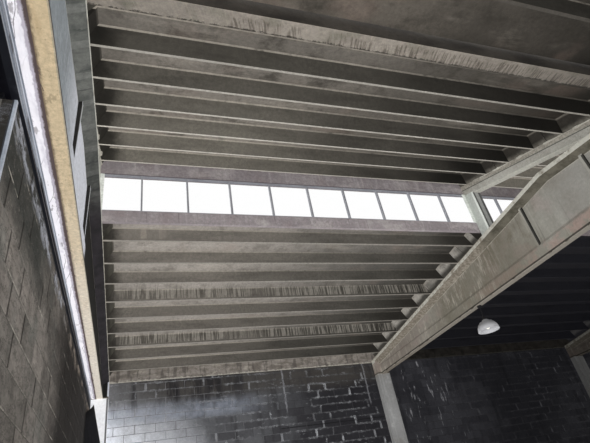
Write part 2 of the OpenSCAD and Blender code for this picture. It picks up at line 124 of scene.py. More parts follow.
class Wire:
    """A socket that takes part in sums, so that shader maths reads as Python."""

    def __init__(self, coat: "Coat", socket: Any) -> None:
        """Keeps the coat that the socket belongs to.

        Args:
            coat: The material being made.
            socket: The output socket.
        """
        self.coat = coat
        self.socket = socket

    def math(self, operation: str, first: Number, second: Optional[Number] = None) -> "Wire":
        """Adds a Math node.

        Args:
            operation: The node's operation.
            first: First value.
            second: Second value, where the operation takes one.

        Returns:
            The node's result.
        """
        values = {0: first} if second is None else {0: first, 1: second}
        return self.coat.node("ShaderNodeMath", {"operation": operation}, values)

    def __add__(self, other: Number) -> "Wire":
        """Returns the sum."""
        return self.math("ADD", self, other)

    def __radd__(self, other: Number) -> "Wire":
        """Returns the sum."""
        return self.math("ADD", other, self)

    def __sub__(self, other: Number) -> "Wire":
        """Returns the difference."""
        return self.math("SUBTRACT", self, other)

    def __rsub__(self, other: Number) -> "Wire":
        """Returns the difference."""
        return self.math("SUBTRACT", other, self)

    def __mul__(self, other: Number) -> "Wire":
        """Returns the product."""
        return self.math("MULTIPLY", self, other)

    def __truediv__(self, other: Number) -> "Wire":
        """Returns the quotient."""
        return self.math("DIVIDE", self, other)

    def __mod__(self, other: Number) -> "Wire":
        """Returns the remainder, never below zero."""
        return self.math("FLOORED_MODULO", self, other)

    def __abs__(self) -> "Wire":
        """Returns the size without its sign."""
        return self.math("ABSOLUTE", self)

    def __gt__(self, other: Number) -> "Wire":
        """Returns 1 where this is greater."""
        return self.math("GREATER_THAN", self, other)

    def __lt__(self, other: Number) -> "Wire":
        """Returns 1 where this is less."""
        return self.math("LESS_THAN", self, other)

    def floor(self) -> "Wire":
        """Returns the whole number below."""
        return self.math("FLOOR", self)

    def rounded(self) -> "Wire":
        """Returns the nearest whole number."""
        return self.math("ROUND", self)

    def capped(self, most: float) -> "Wire":
        """Returns the value, or a limit where it is past that."""
        return self.math("MINIMUM", self, most)

    def ramp(self, low: Number, high: Number) -> "Wire":
        """Rises smoothly from 0 at one value to 1 at another.

        Args:
            low: Value at which the result is 0.
            high: Value at which the result is 1.

        Returns:
            The share between 0 and 1.
        """
        return self.coat.node("ShaderNodeMapRange", {"interpolation_type": "SMOOTHSTEP"},
                              {0: self, 1: low, 2: high, 3: 0.0, 4: 1.0})

    def layer(self, share: Number, paint: Paint) -> "Wire":
        """Covers this colour with a share of another."""
        return self.coat.mix(share, self, paint)

    def times(self, value: "Wire") -> "Wire":
        """Brightens or darkens this colour by a value."""
        return self.coat.node("ShaderNodeMix", {"data_type": "RGBA", "blend_type": "MULTIPLY"},
                              {0: 1.0, 6: self, 7: self.coat.join(value, value, value)}, 2)

    def dim(self, share: "Wire") -> "Wire":
        """Takes a share of the light from this colour."""
        return self.times(1.0 - share)

    def fall(self, low: Number, high: Number) -> "Wire":
        """Falls smoothly from 1 at one value to 0 at another."""
        return 1.0 - self.ramp(low, high)

    def band(self, centre: float, half: float, soft: float) -> "Wire":
        """Is 1 within a distance of a value and falls to 0 beyond it.

        Args:
            centre: Middle of the band.
            half: Half of its width.
            soft: Width over which it fades.

        Returns:
            The share between 0 and 1.
        """
        return abs(self - centre).fall(half, half + soft)


class Coat:
    """A material in the making, with its nodes and its coordinates."""

    def __init__(self, name: str) -> None:
        """Starts a material that has only its output and its main shader.

        Args:
            name: The material's name.
        """
        self.material = bpy.data.materials.new(name)
        self.material.use_nodes = True
        self.tree = self.material.node_tree
        self.tree.nodes.clear()
        output = self.tree.nodes.new("ShaderNodeOutputMaterial")
        self.shader = self.tree.nodes.new("ShaderNodeBsdfPrincipled")
        self.tree.links.new(self.shader.outputs[0], output.inputs[0])
        where = self.tree.nodes.new("ShaderNodeTexCoord")
        self.place = Wire(self, where.outputs["Object"])
        self.x, self.y, self.z = self.split(self.place)
        self.facings = self.split(Wire(self, where.outputs["Normal"]))

    def node(self, kind: str, settings: Optional[Dict[str, Any]] = None,
             inputs: Optional[Dict[Any, Any]] = None, out: int = 0) -> Wire:
        """Adds a node.

        Args:
            kind: The node's type.
            settings: Its own settings.
            inputs: Values or wires by socket.
            out: Which output to return.

        Returns:
            The wire of that output.
        """
        made = self.tree.nodes.new(kind)
        for name, value in (settings or {}).items():
            setattr(made, name, value)
        for key, value in (inputs or {}).items():
            if isinstance(value, Wire):
                self.tree.links.new(value.socket, made.inputs[key])
            else:
                made.inputs[key].default_value = value
        return Wire(self, made.outputs[out])

    def split(self, vector: Wire) -> Tuple[Wire, Wire, Wire]:
        """Returns the three parts of a vector."""
        first = self.node("ShaderNodeSeparateXYZ", None, {0: vector})
        return tuple(Wire(self, socket) for socket in first.socket.node.outputs)

    def join(self, x: Number, y: Number, z: Number) -> Wire:
        """Returns a vector made of three parts."""
        return self.node("ShaderNodeCombineXYZ", None, {0: x, 1: y, 2: z})

    def faces(self, facing: Facing, least: float = 0.55) -> Wire:
        """Is 1 where the surface looks in a direction.

        Args:
            facing: The direction.
            least: Smallest share of the normal along it.

        Returns:
            A mask.
        """
        axis, sign = facing.value
        return (self.facings[axis] * float(sign)) > least

    def outside(self) -> Wire:
        """Is 1 beyond the middle of the outer walls."""
        long = abs(self.y) > 8.13
        return long.math("MAXIMUM", long, abs(self.x) > 12.3)

    def from_grid(self) -> Wire:
        """Returns the distance along the hall from the nearest girder's axis."""
        return abs((self.x + 16.0) % BAY - 4.0)

    def grain(self, scale: float, detail: float = 3.0, stretch: Tone = (1.0, 1.0, 1.0),
              at: Optional[Wire] = None, rough: float = 0.55) -> Wire:
        """Adds cloudy noise.

        Args:
            scale: Cycles in a metre.
            detail: Number of finer layers.
            stretch: Factors on the three axes.
            at: Where to read it, or the object's own coordinates.
            rough: Share of the finer layers.

        Returns:
            The noise from 0 to 1.
        """
        where = self.place if at is None else at
        if stretch != (1.0, 1.0, 1.0):
            where = self.node("ShaderNodeVectorMath", {"operation": "MULTIPLY"}, {0: where, 1: stretch})
        return self.node("ShaderNodeTexNoise", None,
                         {"Vector": where, "Scale": scale, "Detail": detail, "Roughness": rough})

    def dice(self, x: Number, y: Number, z: Number) -> Wire:
        """Returns a random value from 0 to 1 for three numbers."""
        return self.node("ShaderNodeTexWhiteNoise", {"noise_dimensions": "3D"}, {0: self.join(x, y, z)})

    def mix(self, share: Number, first: Paint, second: Paint) -> Wire:
        """Blends two colours, each a wire or a display value.

        Args:
            share: Share of the second one.
            first: The colour below.
            second: The colour on top.

        Returns:
            The blended colour.
        """
        below, above = (tone(*part) if isinstance(part, tuple) else part for part in (first, second))
        return self.node("ShaderNodeMix", {"data_type": "RGBA"}, {0: share, 6: below, 7: above}, 2)


    def finish(self, colour: Wire, rough: Number, relief: Optional[Wire] = None,
               depth: float = 0.004, strength: float = 0.5, **fixed: Any) -> bpy.types.Material:
        """Connects the main shader and returns the material.

        Args:
            colour: Base colour.
            rough: Roughness or wire.
            relief: Height of the surface's relief.
            depth: Real height of that relief in metres.
            strength: Strength of the bump.
            **fixed: Other sockets' plain values, with underscores for spaces.

        Returns:
            The finished material.
        """
        pairs: Dict[str, Any] = {"Base Color": colour, "Roughness": rough}
        pairs.update((name.replace("_", " "), value) for name, value in fixed.items())
        if relief is not None:
            pairs["Normal"] = self.node("ShaderNodeBump", None,
                                        {"Strength": strength, "Distance": depth, "Height": relief})
        for name, value in pairs.items():
            if isinstance(value, Wire):
                self.tree.links.new(value.socket, self.shader.inputs[name])
            else:
                self.shader.inputs[name].default_value = value
        return self.material


@dataclass(frozen=True)
class CastConcrete:
    """Concrete cast in moulds, with clouds, stains, pores and drips."""

    name: str
    body: Tone = (150, 146, 138)
    shade: Tone = (118, 113, 106)
    light: Tone = (182, 178, 168)
    stain: Tone = (122, 108, 96)
    stains: float = 0.5
    drips: float = 0.35
    rough: float = 0.88
    boards: float = 0.0
    # Share of painted shade over the unlit bays beyond the second girder.
    far_bay_shade: float = 0.0
    grit: float = 0.75

    def zones(self, coat: Coat, colour: Wire) -> Wire:
        """Paints zones of the piece over its plain concrete."""
        return colour

    def dress(self) -> bpy.types.Material:
        """Returns the finished material."""
        coat = Coat(self.name)
        clouds = coat.grain(0.7, 4.0)
        mottle = coat.grain(5.0, 6.0, rough=0.65)
        fine = coat.grain(60.0, 4.0, rough=0.7)
        colour = coat.mix(clouds.ramp(0.35, 0.68), self.shade, self.body)
        colour = colour.layer(mottle.ramp(0.52, 0.75) * 0.6, self.light)
        blot = coat.grain(1.6, 5.0, rough=0.6).ramp(0.5, 0.66) * self.stains
        colour = colour.layer(blot, self.stain)
        upright = abs(coat.facings[2]).fall(0.5, 0.8)
        run = coat.grain(9.0, 3.0, (1.0, 1.0, 0.07)).ramp(0.56, 0.7) * upright * self.drips
        colour = colour.layer(run, self.light)
        dark_run = coat.grain(13.0, 3.0, (1.0, 1.0, 0.05)).ramp(0.6, 0.74) * upright * self.drips
        colour = colour.layer(dark_run, dimmed(self.stain, 0.62))
        colour = self.zones(coat, colour)
        # Painted shade over the inside of the bays beyond the second girder.
        if self.far_bay_shade:
            inner = coat.x.ramp(-3.95, -3.5) * (1.0 - coat.outside())
            colour = colour.dim(inner * self.far_bay_shade)
        pores = coat.grain(150.0, 2.0).ramp(0.66, 0.74)
        grit = coat.grain(19.0, 5.0, rough=0.8)
        worn = coat.grain(1.8, 4.0, at=coat.join(coat.x, coat.y, coat.z + 4.0)) * self.grit * 3.4
        colour = colour.times(0.86 + fine * 0.28 - pores * 0.22 + (grit - 0.5) * worn)
        relief = fine * 0.5 + mottle * 0.8 - pores
        if self.boards:
            seam = abs((coat.z / 0.14) % 1.0 - 0.5).fall(0.0, 0.06)
            relief = relief - seam * self.boards
        return coat.finish(colour, self.rough + (mottle - 0.5) * 0.1, relief, 0.004, 0.5)


def felt(coat: Coat, colour: Wire) -> Wire:
    """Covers the upper faces of a roof with mineral felt laid in strips.

    Args:
        coat: The material being made.
        colour: Colour of everything else.

    Returns:
        The colour with the felt on top.
    """
    patch = coat.mix(coat.grain(1.1, 4.0).ramp(0.35, 0.65), (84, 86, 88), (108, 109, 108))
    speck = coat.grain(260.0, 1.0)
    lap = ((coat.x + 0.2) % 1.0).band(0.5, 0.006, 0.006)
    patch = patch.layer(lap * 0.7, (50, 51, 53))
    patch = patch.times(0.75 + speck * 0.5)
    return colour.layer(coat.faces(Facing.UP, 0.5), patch)


@dataclass(frozen=True)
class RoofSpot:
    """Place of a point on a ribbed roof, and the noises that the roof's zones share."""

    depth: Wire
    across: Wire
    # Share of painted shade, which deepens across the bay towards the right girder.
    fade: Wire
    mottle: Wire
    long: Wire
    shade_down_slope: Wire
    ends: Wire


@dataclass(frozen=True)
class RibbedRoof(CastConcrete):
    """Underside of ribbed roof units: rib soles, webs, mottled soffits and end diaphragms."""

    peak: float = RIDGE
    peak_y: float = 0.0
    rise: float = -FALL
    # The soffit and web _right tones are darker copies of the _left ones: painted shade towards the right
    # girder.
    soffit_left: Tone = (158, 152, 145)
    soffit_right: Tone = (72, 70, 66)
    blotch: Tone = (80, 75, 69)
    blotches: float = 0.5
    warmth: float = 0.25
    streaks: float = 0.35
    web_left: Tone = (119, 114, 107)
    web_right: Tone = (70, 68, 63)
    web_end: Tone = (34, 32, 29)
    sole: Tone = (146, 141, 133)
    hip_left: Tone = (62, 60, 54)
    hip_right: Tone = (142, 138, 131)
    hip_foot: Tone = (38, 36, 32)
    # Where painted shade starts and ends down the slope, and its largest share.
    sink: Tuple[float, float, float] = (2.0, 7.0, 0.2)
    fillet: float = 0.7
    sole_depth: float = 0.03

    def depth(self, coat: Coat) -> Wire:
        """Returns the distance above the plane of the rib soles, square to it."""
        cosine = 1 / math.sqrt(1 + self.rise ** 2)
        return (coat.z - self.peak - (coat.y - self.peak_y) * self.rise) * cosine

    def along(self, coat: Coat) -> Wire:
        """Returns the distance down the slope from the peak."""
        return abs(coat.y - self.peak_y) * math.sqrt(1 + self.rise ** 2)

    def across(self, coat: Coat) -> Wire:
        """Returns the share of the bay from its left girder."""
        return ((coat.x + 12.0) / BAY) % 1.0

    def spot(self, coat: Coat) -> RoofSpot:
        """Gathers what the zones share.

        Args:
            coat: The material being made.

        Returns:
            The place and the noises.
        """
        first, last, most = self.sink
        across, mottle = self.across(coat), coat.grain(2.4, 6.0, rough=0.68)
        blur = coat.grain(0.45, 3.0) * 0.5 - 0.25
        return RoofSpot(self.depth(coat), across, (across + blur).ramp(0.12, 0.95), mottle,
                        coat.grain(3.2, 5.0, (0.3, 1.6, 1.6), rough=0.62),
                        self.along(coat).ramp(first, last) * most,
                        coat.from_grid() + (mottle - 0.5) * 0.5)

    def soffit(self, coat: Coat, at: RoofSpot) -> Wire:
        """Returns the colour between the ribs: blotches, warm clouds, pale streaks and painted shade at the
        ends by the girders.
        """
        colour = coat.mix(at.fade, self.soffit_left, self.soffit_right)
        colour = colour.layer(at.mottle.ramp(0.46, 0.68) * self.blotches, self.blotch)
        pink = coat.grain(0.9, 3.0, at=coat.join(coat.x, coat.y, 7.0)).ramp(0.55, 0.7)
        colour = colour.layer(pink * self.warmth, (134, 116, 106))
        pale = coat.grain(1.3, 4.0, (0.5, 1.0, 1.0)).ramp(0.5, 0.66) * at.long.ramp(0.45, 0.6)
        colour = colour.layer(pale * (1.0 - at.fade * 0.6) * self.streaks, (172, 164, 152)).dim(at.shade_down_slope)
        # Painted shade in the corners by the girders, deeper towards the right.
        damp_and_shade = at.ends.fall(0.3, 0.6 + at.across * 0.9)
        return colour.layer(damp_and_shade * (0.15 + at.across * 0.55), self.web_end)

    def web(self, coat: Coat, at: RoofSpot) -> Wire:
        """Returns the colour of the ribs' sides, darker than the soffits and darkest at the ends as painted
        shade, with a pale fillet below the soffit as a painted highlight.
        """
        colour = coat.mix(at.fade, self.web_left, self.web_right)
        colour = colour.dim(at.long.ramp(0.46, 0.66) * 0.22).dim(at.shade_down_slope * 1.7)
        # Painted shade at the ends of the ribs by the girders.
        colour = colour.layer(at.ends.fall(0.24, 0.5 + at.across * 1.5) * 0.85, self.web_end)
        # Painted highlight along the fillet below the soffit.
        fillet = at.depth.ramp(0.221, 0.225) * (1.0 - at.fade * 0.85) * coat.grain(5.0, 4.0).ramp(0.2, 0.45)
        return colour.layer(fillet * self.fillet, (168, 161, 150))

    def hip(self, coat: Coat, at: RoofSpot) -> Wire:
        """Returns the colour of the sloping ends, the left ones dark and the right ones pale as painted
        shade and light, darker at the foot as painted shade, with a pale rim.
        """
        ragged = (at.mottle - 0.5) * 0.16
        colour = coat.mix(at.across > 0.5, self.hip_left, self.hip_right)
        colour = colour.layer(at.mottle.ramp(0.42, 0.66) * 0.6, self.hip_foot)
        # Painted shade along the foot of each hip.
        colour = colour.layer((at.depth + ragged).fall(0.05, 0.14) * 0.9, self.hip_foot)
        rim = (at.depth + ragged * 0.3).ramp(0.21, 0.235)
        return colour.layer(rim * self.streaks * (0.4 + at.across * 0.6), (140, 134, 124))

    def rib_sole(self, coat: Coat, at: RoofSpot) -> Wire:
        """Returns the colour of the ribs' undersides."""
        colour = coat.mix(coat.grain(11.0, 4.0).ramp(0.5, 0.75) * 0.5, self.sole, dimmed(self.sole, 0.8))
        return colour.layer(at.fade * 0.45, dimmed(self.sole, 0.6)).dim(at.shade_down_slope)

    def zones(self, coat: Coat, colour: Wire) -> Wire:
        """Paints soffits, webs, soles and hips by their depth and the way that they face."""
        at, level = self.spot(coat), coat.faces(Facing.DOWN)
        colour = colour.layer(level, self.soffit(coat, at))
        colour = colour.layer(self.sides(coat), self.web(coat, at))
        colour = colour.layer(level * (at.depth < self.sole_depth), self.rib_sole(coat, at))
        colour = colour.layer(self.hips(coat), self.hip(coat, at))
        return felt(coat, self.last(coat, colour))

    def hips(self, coat: Coat) -> Wire:
        """Is 1 on the sloping ends of the coffers."""
        return abs(coat.facings[0]).ramp(0.3, 0.5)

    def sides(self, coat: Coat) -> Wire:
        """Is 1 on the ribs' sides."""
        return coat.faces(Facing.NEAR) + coat.faces(Facing.FAR)

    def last(self, coat: Coat, colour: Wire) -> Wire:
        """Paints what comes over all other zones but the felt."""
        return colour


@dataclass(frozen=True)
class FarRoof(RibbedRoof):
    """Far slope: two rows of units combed with lime, pale drips in the first corner."""

    rows: Tuple[float, ...] = (4.18, 6.15)

    def last(self, coat: Coat, colour: Wire) -> Wire:
        """Paints the combs and the drips."""
        depth, along, across = self.depth(coat), self.along(coat), self.across(coat)
        sides, above = self.sides(coat), depth.ramp(0.02, 0.05)
        wide = coat.grain(5.0, 3.0, (1.0, 0.1, 0.1)).ramp(0.56, 0.64) * across.fall(0.05, 0.25)
        colour = colour.layer(wide * 0.4 * sides * above * (along < 2.7), (168, 160, 148))
        comb = coat.grain(36.0, 2.0, (1.0, 0.04, 0.04), rough=0.6).ramp(0.44, 0.56)
        patchy = coat.grain(0.8, 3.0, at=coat.join(coat.x, 5.0, 1.0)).ramp(0.25, 0.55)
        uneven = coat.grain(7.0, 3.0, (1.0, 0.3, 0.3)).ramp(0.3, 0.6)
        for row in self.rows:
            limed = (along.ramp(row - 0.47, row - 0.33) * along.fall(row - 0.01, row + 0.02)
                     * patchy * across.ramp(0.02, 0.1) * above)
            colour = colour.layer(limed * comb * sides * 0.5, (158, 153, 144))
            colour = colour.layer(limed * (1.0 - comb) * uneven * (0.3 + sides * 0.35), (62, 59, 54))
        return colour


@dataclass(frozen=True)
class RaisedRoof(RibbedRoof):
    """Raised roof, with pale crumbs of mortar on the seats at its right."""

    def last(self, coat: Coat, colour: Wire) -> Wire:
        """Paints the pale crumbs on the lowest strip of the hips."""
        depth = self.depth(coat)
        cloud = (coat.grain(5.0, 3.0) - 0.5) * 0.06
        low = (depth + cloud).fall(0.0, 0.1)
        hips = self.hips(coat) * (self.across(coat) > 0.5)
        mortar = coat.mix(coat.grain(14.0, 4.0).ramp(0.4, 0.6), (158, 153, 142), (128, 122, 112))
        return colour.layer(hips * low * 0.3, mortar)


@dataclass(frozen=True)
class EdgeBeam(RibbedRoof):
    """The roof unit with the wide pale beam, crossed by thin dark streaks."""

    beam_start: float = -2.2397
    beam_width: float = 0.25
    near_face: float = -2.2

    def last(self, coat: Coat, colour: Wire) -> Wire:
        """Paints the beam's sole with its cross streaks and painted shade towards the right, and painted
        shade on its near face.
        """
        depth, across = self.depth(coat), self.across(coat)
        sole = coat.faces(Facing.DOWN) * (depth < self.sole_depth)
        share = (coat.y - self.beam_start) / self.beam_width
        slant = coat.join(coat.x - coat.y * 0.4, coat.y * 0.05, 0.0)
        fine = coat.grain(36.0, 3.0, at=slant, rough=0.7)
        bunch = coat.grain(2.6, 3.0, at=coat.join(coat.x, 9.0, 0.0)).ramp(0.48, 0.56)
        bunch = bunch + across.ramp(0.3, 0.5)
        bold = coat.grain(9.0, 3.0, at=slant, rough=0.6)
        part = coat.grain(1.1, 3.0, at=coat.join(coat.x, 0.0, 2.0)).ramp(0.35, 0.6)
        reach = share - 0.28 + part * 0.2 + (bold - 0.5) * 0.9
        streaks = (fine.ramp(0.48, 0.58) * reach.ramp(0.0, 0.25) * bunch.capped(1.0)
                   * across.ramp(0.14, 0.2))
        pale = coat.mix(coat.grain(1.3, 4.0).ramp(0.4, 0.65), (141, 134, 125), (122, 115, 107))
        pale = pale.layer(coat.grain(2.6, 5.0).ramp(0.5, 0.66) * 0.6, (112, 110, 98))
        pale = pale.layer(fine.ramp(0.45, 0.7) * 0.3, (168, 158, 144))
        pale = pale.layer(streaks * 0.7, (72, 65, 58))
        torn = coat.grain(28.0, 4.0, rough=0.75)
        rim = (share + (torn - 0.5) * 0.5).ramp(0.9, 0.95) * bold.ramp(0.35, 0.5)
        pale = pale.layer(rim * 0.85, (38, 34, 31))
        pale = pale.layer(share.fall(0.0, 0.06) * 0.4, (164, 156, 143))
        # Painted shade deepening across the bay towards the right.
        pale = pale.times(0.87 + across.ramp(0.1, 0.25) * 0.13 - across.ramp(0.4, 0.95) * 0.5)
        colour = colour.layer(sole, pale)
        # Painted shade on the beam's near face, deeper towards the right.
        face = coat.faces(Facing.NEAR, 0.8) * (coat.y < self.near_face)
        dark = coat.mix(coat.grain(2.2, 5.0, (0.5, 1.0, 1.0)).ramp(0.4, 0.66), (66, 62, 57), (44, 41, 38))
        dark = dark.dim(across.ramp(0.4, 1.0) * 0.5)
        return colour.layer(face, dark)


@dataclass(frozen=True)
class GirderConcrete(CastConcrete):
    """Girder: stained web, dark flange underside, pale chipped foot with a painted shadow line above."""

    sole: Tone = (152, 147, 138)
    sole_far: Tone = (116, 109, 100)
    flange: Tone = (94, 90, 80)
    flange_shade: Tone = (68, 65, 56)
    flange_edge: Tone = (188, 186, 176)
    # Painted shade on the dark faces of the stiffeners and on the near faces about the ridge.
    stiffener: Tone = (34, 33, 31)

    def zones(self, coat: Coat, colour: Wire) -> Wire:
        """Paints the web, the flange, the stiffeners, the foot and painted shade on the near faces about
        the ridge.
        """
        mottle = coat.grain(5.0, 6.0, rough=0.65)
        down = coat.faces(Facing.DOWN, 0.5)
        below = RIDGE - abs(coat.y) * FALL - coat.z
        colour = self.web(coat, colour, below, mottle)
        colour = colour.layer(down * (coat.z > SEAT + 0.3), self.underside(coat, mottle))
        colour = self.upper(coat, colour, below, mottle)
        colour = self.foot(coat, colour, down, mottle)
        # Painted shade on the girder's near faces within 1.2 m of the ridge.
        step_shade = coat.faces(Facing.NEAR, 0.7) * (abs(coat.y) < 1.2) * (coat.from_grid() < FLANGE_HALF)
        return colour.layer(step_shade * (coat.z > SEAT + 0.1), self.stiffener)

    def upper(self, coat: Coat, colour: Wire, below: Wire, mottle: Wire) -> Wire:
        """Paints the sides of stiffeners and flange.

        Args:
            coat: The material being made.
            colour: What lies below.
            below: Distance below the roof's plane.
            mottle: The girder's mottle.

        Returns:
            The colour with these on top.
        """
        side = coat.faces(Facing.LEFT, 0.7) + coat.faces(Facing.RIGHT, 0.7)
        junction = below.band(0.174, 0.006, 0.006) * side * mottle.ramp(0.35, 0.55)
        colour = colour.layer(junction * 0.45, (186, 180, 168))
        foot_top = SEAT + FOOT_TOP
        stiffener = side * (coat.from_grid() > WEB_FACE) * coat.z.ramp(foot_top + 0.3, 5.95)
        colour = colour.layer(stiffener * (below > FLANGE) * 0.5, (172, 170, 160))
        shade = coat.y.band(0.765, 0.018, 0.004) + coat.y.band(-0.815, 0.018, 0.004)
        shade = shade * side * (coat.from_grid() > WEB_FACE) * (below > FLANGE)
        colour = colour.layer(shade * (coat.z > foot_top + 0.02) * 0.9, self.stiffener)
        crumbly = coat.grain(14.0, 5.0, rough=0.75).ramp(0.45, 0.6) * coat.y.ramp(1.4, 2.4)
        worn = mottle.ramp(0.5, 0.7) + crumbly * 0.7
        edge = side * (coat.from_grid() > FLANGE_HALF - 0.01) * (below < 0.12)
        return colour.layer(edge, coat.mix(worn.capped(1.0), self.flange_edge, (132, 125, 113)))

    def foot(self, coat: Coat, colour: Wire, down: Wire, mottle: Wire) -> Wire:
        """Paints a shadow line above the foot's rim, the chipped rim and the sole.

        Args:
            coat: The material being made.
            colour: What lies below.
            down: Is 1 where the surface looks down.
            mottle: The girder's mottle.

        Returns:
            The colour with these on top.
        """
        rim = (coat.z < SEAT + 0.034) * (1.0 - down)
        colour = colour.layer(rim, coat.mix(mottle.ramp(0.5, 0.62), (150, 144, 133), (84, 78, 70)))
        # Painted shadow along the top of the foot's rim.
        line = coat.z.band(SEAT + 0.03, 0.014, 0.005) * (1.0 - down)
        colour = colour.layer(line * 0.85, (38, 35, 32))
        sole = coat.mix(coat.y.ramp(-6.0, 6.5), self.sole, self.sole_far)
        warm = coat.grain(0.7, 4.0, (1.0, 0.6, 1.0)).ramp(0.42, 0.66)
        sole = sole.layer(warm * 0.5, dimmed(self.sole, 0.92))
        chips = coat.grain(14.0, 4.0, (1.0, 0.6, 1.0)).ramp(0.62, 0.68)
        sole = self.border(coat, sole.layer(chips * 0.5, dimmed(self.sole, 0.66)))
        return colour.layer(down * (coat.z < SEAT + 0.01), sole)

    def web(self, coat: Coat, colour: Wire, below: Wire, mottle: Wire) -> Wire:
        """Paints the pinkish foot, olive patches, soot and pale chips on the web."""
        low = coat.z - SEAT
        drift = (coat.grain(0.9, 4.0) - 0.5) * 2.4
        spots = coat.grain(3.2, 5.0, rough=0.65)
        pink = (coat.y + drift).band(-0.6, 2.6, 1.6) * (low + (spots - 0.5) * 0.3).fall(0.2, 0.34)
        colour = colour.layer(pink * spots.ramp(0.42, 0.56) * 0.75, (158, 138, 130))
        blush = coat.grain(1.7, 5.0, at=coat.join(coat.x, coat.y, coat.z + 9.0)).ramp(0.54, 0.64)
        colour = colour.layer(blush * 0.4, (156, 140, 134))
        olive = (coat.y + drift * 0.6).band(2.6, 1.0, 1.2) + spots.ramp(0.54, 0.66) * 0.4
        colour = colour.layer(olive.capped(1.0) * 0.6, (100, 95, 82))
        grey = (coat.y + drift * 0.4).fall(-0.8, 1.2)
        colour = colour.layer(grey * 0.6 * low.ramp(0.2, 0.34), (152, 151, 147))
        brown = (coat.y + drift * 0.5).ramp(3.4, 6.5)
        colour = colour.layer(brown * 0.6, (118, 108, 101))
        run = coat.grain(10.0, 5.0, (1.0, 1.0, 0.2), rough=0.75)
        marks = run.ramp(0.49, 0.64) * (coat.y + drift).ramp(0.6, 2.8)
        marks = marks * coat.grain(1.6, 3.0).ramp(0.32, 0.55)
        colour = colour.layer(marks * 0.6, (176, 169, 158))
        soot = run.ramp(0.5, 0.66) * (1.0 - marks) * coat.y.ramp(-0.5, 2.0)
        colour = colour.layer(soot * 0.4, (66, 60, 52))
        crumbs = coat.grain(26.0, 4.0).ramp(0.6, 0.66) * below.fall(0.18, 0.3)
        return colour.layer(crumbs * 0.5, (180, 174, 162))

    def underside(self, coat: Coat, mottle: Wire) -> Wire:
        """Returns the flange's underside, dark over the raised part and crumbly beyond."""
        dark = coat.mix(mottle.ramp(0.4, 0.64), self.flange, self.flange_shade)
        crumbly = coat.mix(coat.grain(16.0, 4.0, rough=0.7).ramp(0.44, 0.6), (104, 97, 87), (138, 131, 120))
        return coat.mix(coat.y.ramp(1.6, 2.4) * 0.85, dark, crumbly)

    def border(self, coat: Coat, sole: Wire) -> Wire:
        """Paints the edges of the sole."""
        return sole


@dataclass(frozen=True)
class FirstGirder(GirderConcrete):
    """The girder beside the gable: bluish web that ends in shade, warm cream sole."""

    sole_left: float = -12.0725
    sole_right: float = -11.9275

    def web(self, coat: Coat, colour: Wire, below: Wire, mottle: Wire) -> Wire:
        """Paints light on the web near the ridge and shade, nearly black, over its far part."""
        drift = (coat.grain(1.6, 4.0) - 0.5) * 0.3
        # Painted light on the web near the ridge.
        bright = (coat.y + drift).ramp(-2.0, -0.4)
        colour = colour.layer(bright * 0.9, (206, 208, 216))
        # Painted shade, nearly black, over the web's far part.
        far = (coat.y + drift).ramp(0.86, 1.0) * (coat.from_grid() < 0.17)
        colour = colour.layer(far, (30, 30, 29))
        seam = coat.y.band(-3.05, 0.006, 0.004) + coat.y.band(-1.9, 0.005, 0.004)
        return colour.layer(seam * 0.4, (82, 86, 88))

    def underside(self, coat: Coat, mottle: Wire) -> Wire:
        """Returns grey green near the door, darkening as painted shade to dark violet grey beyond the
        ridge.
        """
        near = coat.mix(mottle.ramp(0.4, 0.64), self.flange, self.flange_shade)
        rungs = ((coat.y + mottle * 0.14) / 0.27 % 1.0).band(0.5, 0.03, 0.025)
        near = near.layer(rungs * coat.grain(2.2, 3.0).ramp(0.42, 0.55) * 0.6, (52, 54, 53))
        near = near.layer((coat.y * 2.3 % 1.0).band(0.2, 0.1, 0.02) * 0.25, (134, 134, 130))
        # Painted shade: dark violet grey beyond the ridge, and the grey green darkening towards it.
        far = coat.mix(mottle.ramp(0.4, 0.64), (42, 39, 42), (31, 30, 31))
        drift = (mottle - 0.5) * 0.6
        shaded_near = near.dim((coat.y + drift).ramp(-1.2, 0.6) * 0.4)
        return coat.mix((coat.y + drift).ramp(0.5, 1.6), shaded_near, far)

    def border(self, coat: Coat, sole: Wire) -> Wire:
        """Paints the brown fringe beside the white strip, part foam remains and part painted shadow, and
        the grey line at the other edge.
        """
        ragged = (coat.grain(24.0, 5.0, (1.0, 0.5, 1.0), rough=0.75) - 0.5) * 0.07
        # Brown fringe along the sole's left edge: foam remains and painted shadow of the foam.
        fringe = (coat.x - self.sole_left + ragged).fall(0.0, 0.03)
        sole = sole.layer(fringe * 0.8, (96, 80, 66))
        worn = coat.grain(7.0, 5.0, (1.0, 0.4, 1.0), rough=0.7)
        sole = sole.layer(worn.ramp(0.52, 0.7) * 0.4, (182, 160, 134))
        streak = coat.grain(4.0, 5.0, (3.0, 0.35, 1.0)).ramp(0.55, 0.7)
        sole = sole.layer(streak * 0.3, (176, 148, 108))
        sole = sole.layer((coat.y + worn).ramp(0.0, 5.0) * 0.75, (222, 214, 202))
        rim = (coat.x - self.sole_right).ramp(-0.012, -0.008)
        return sole.layer(rim * 0.6, (150, 146, 136))


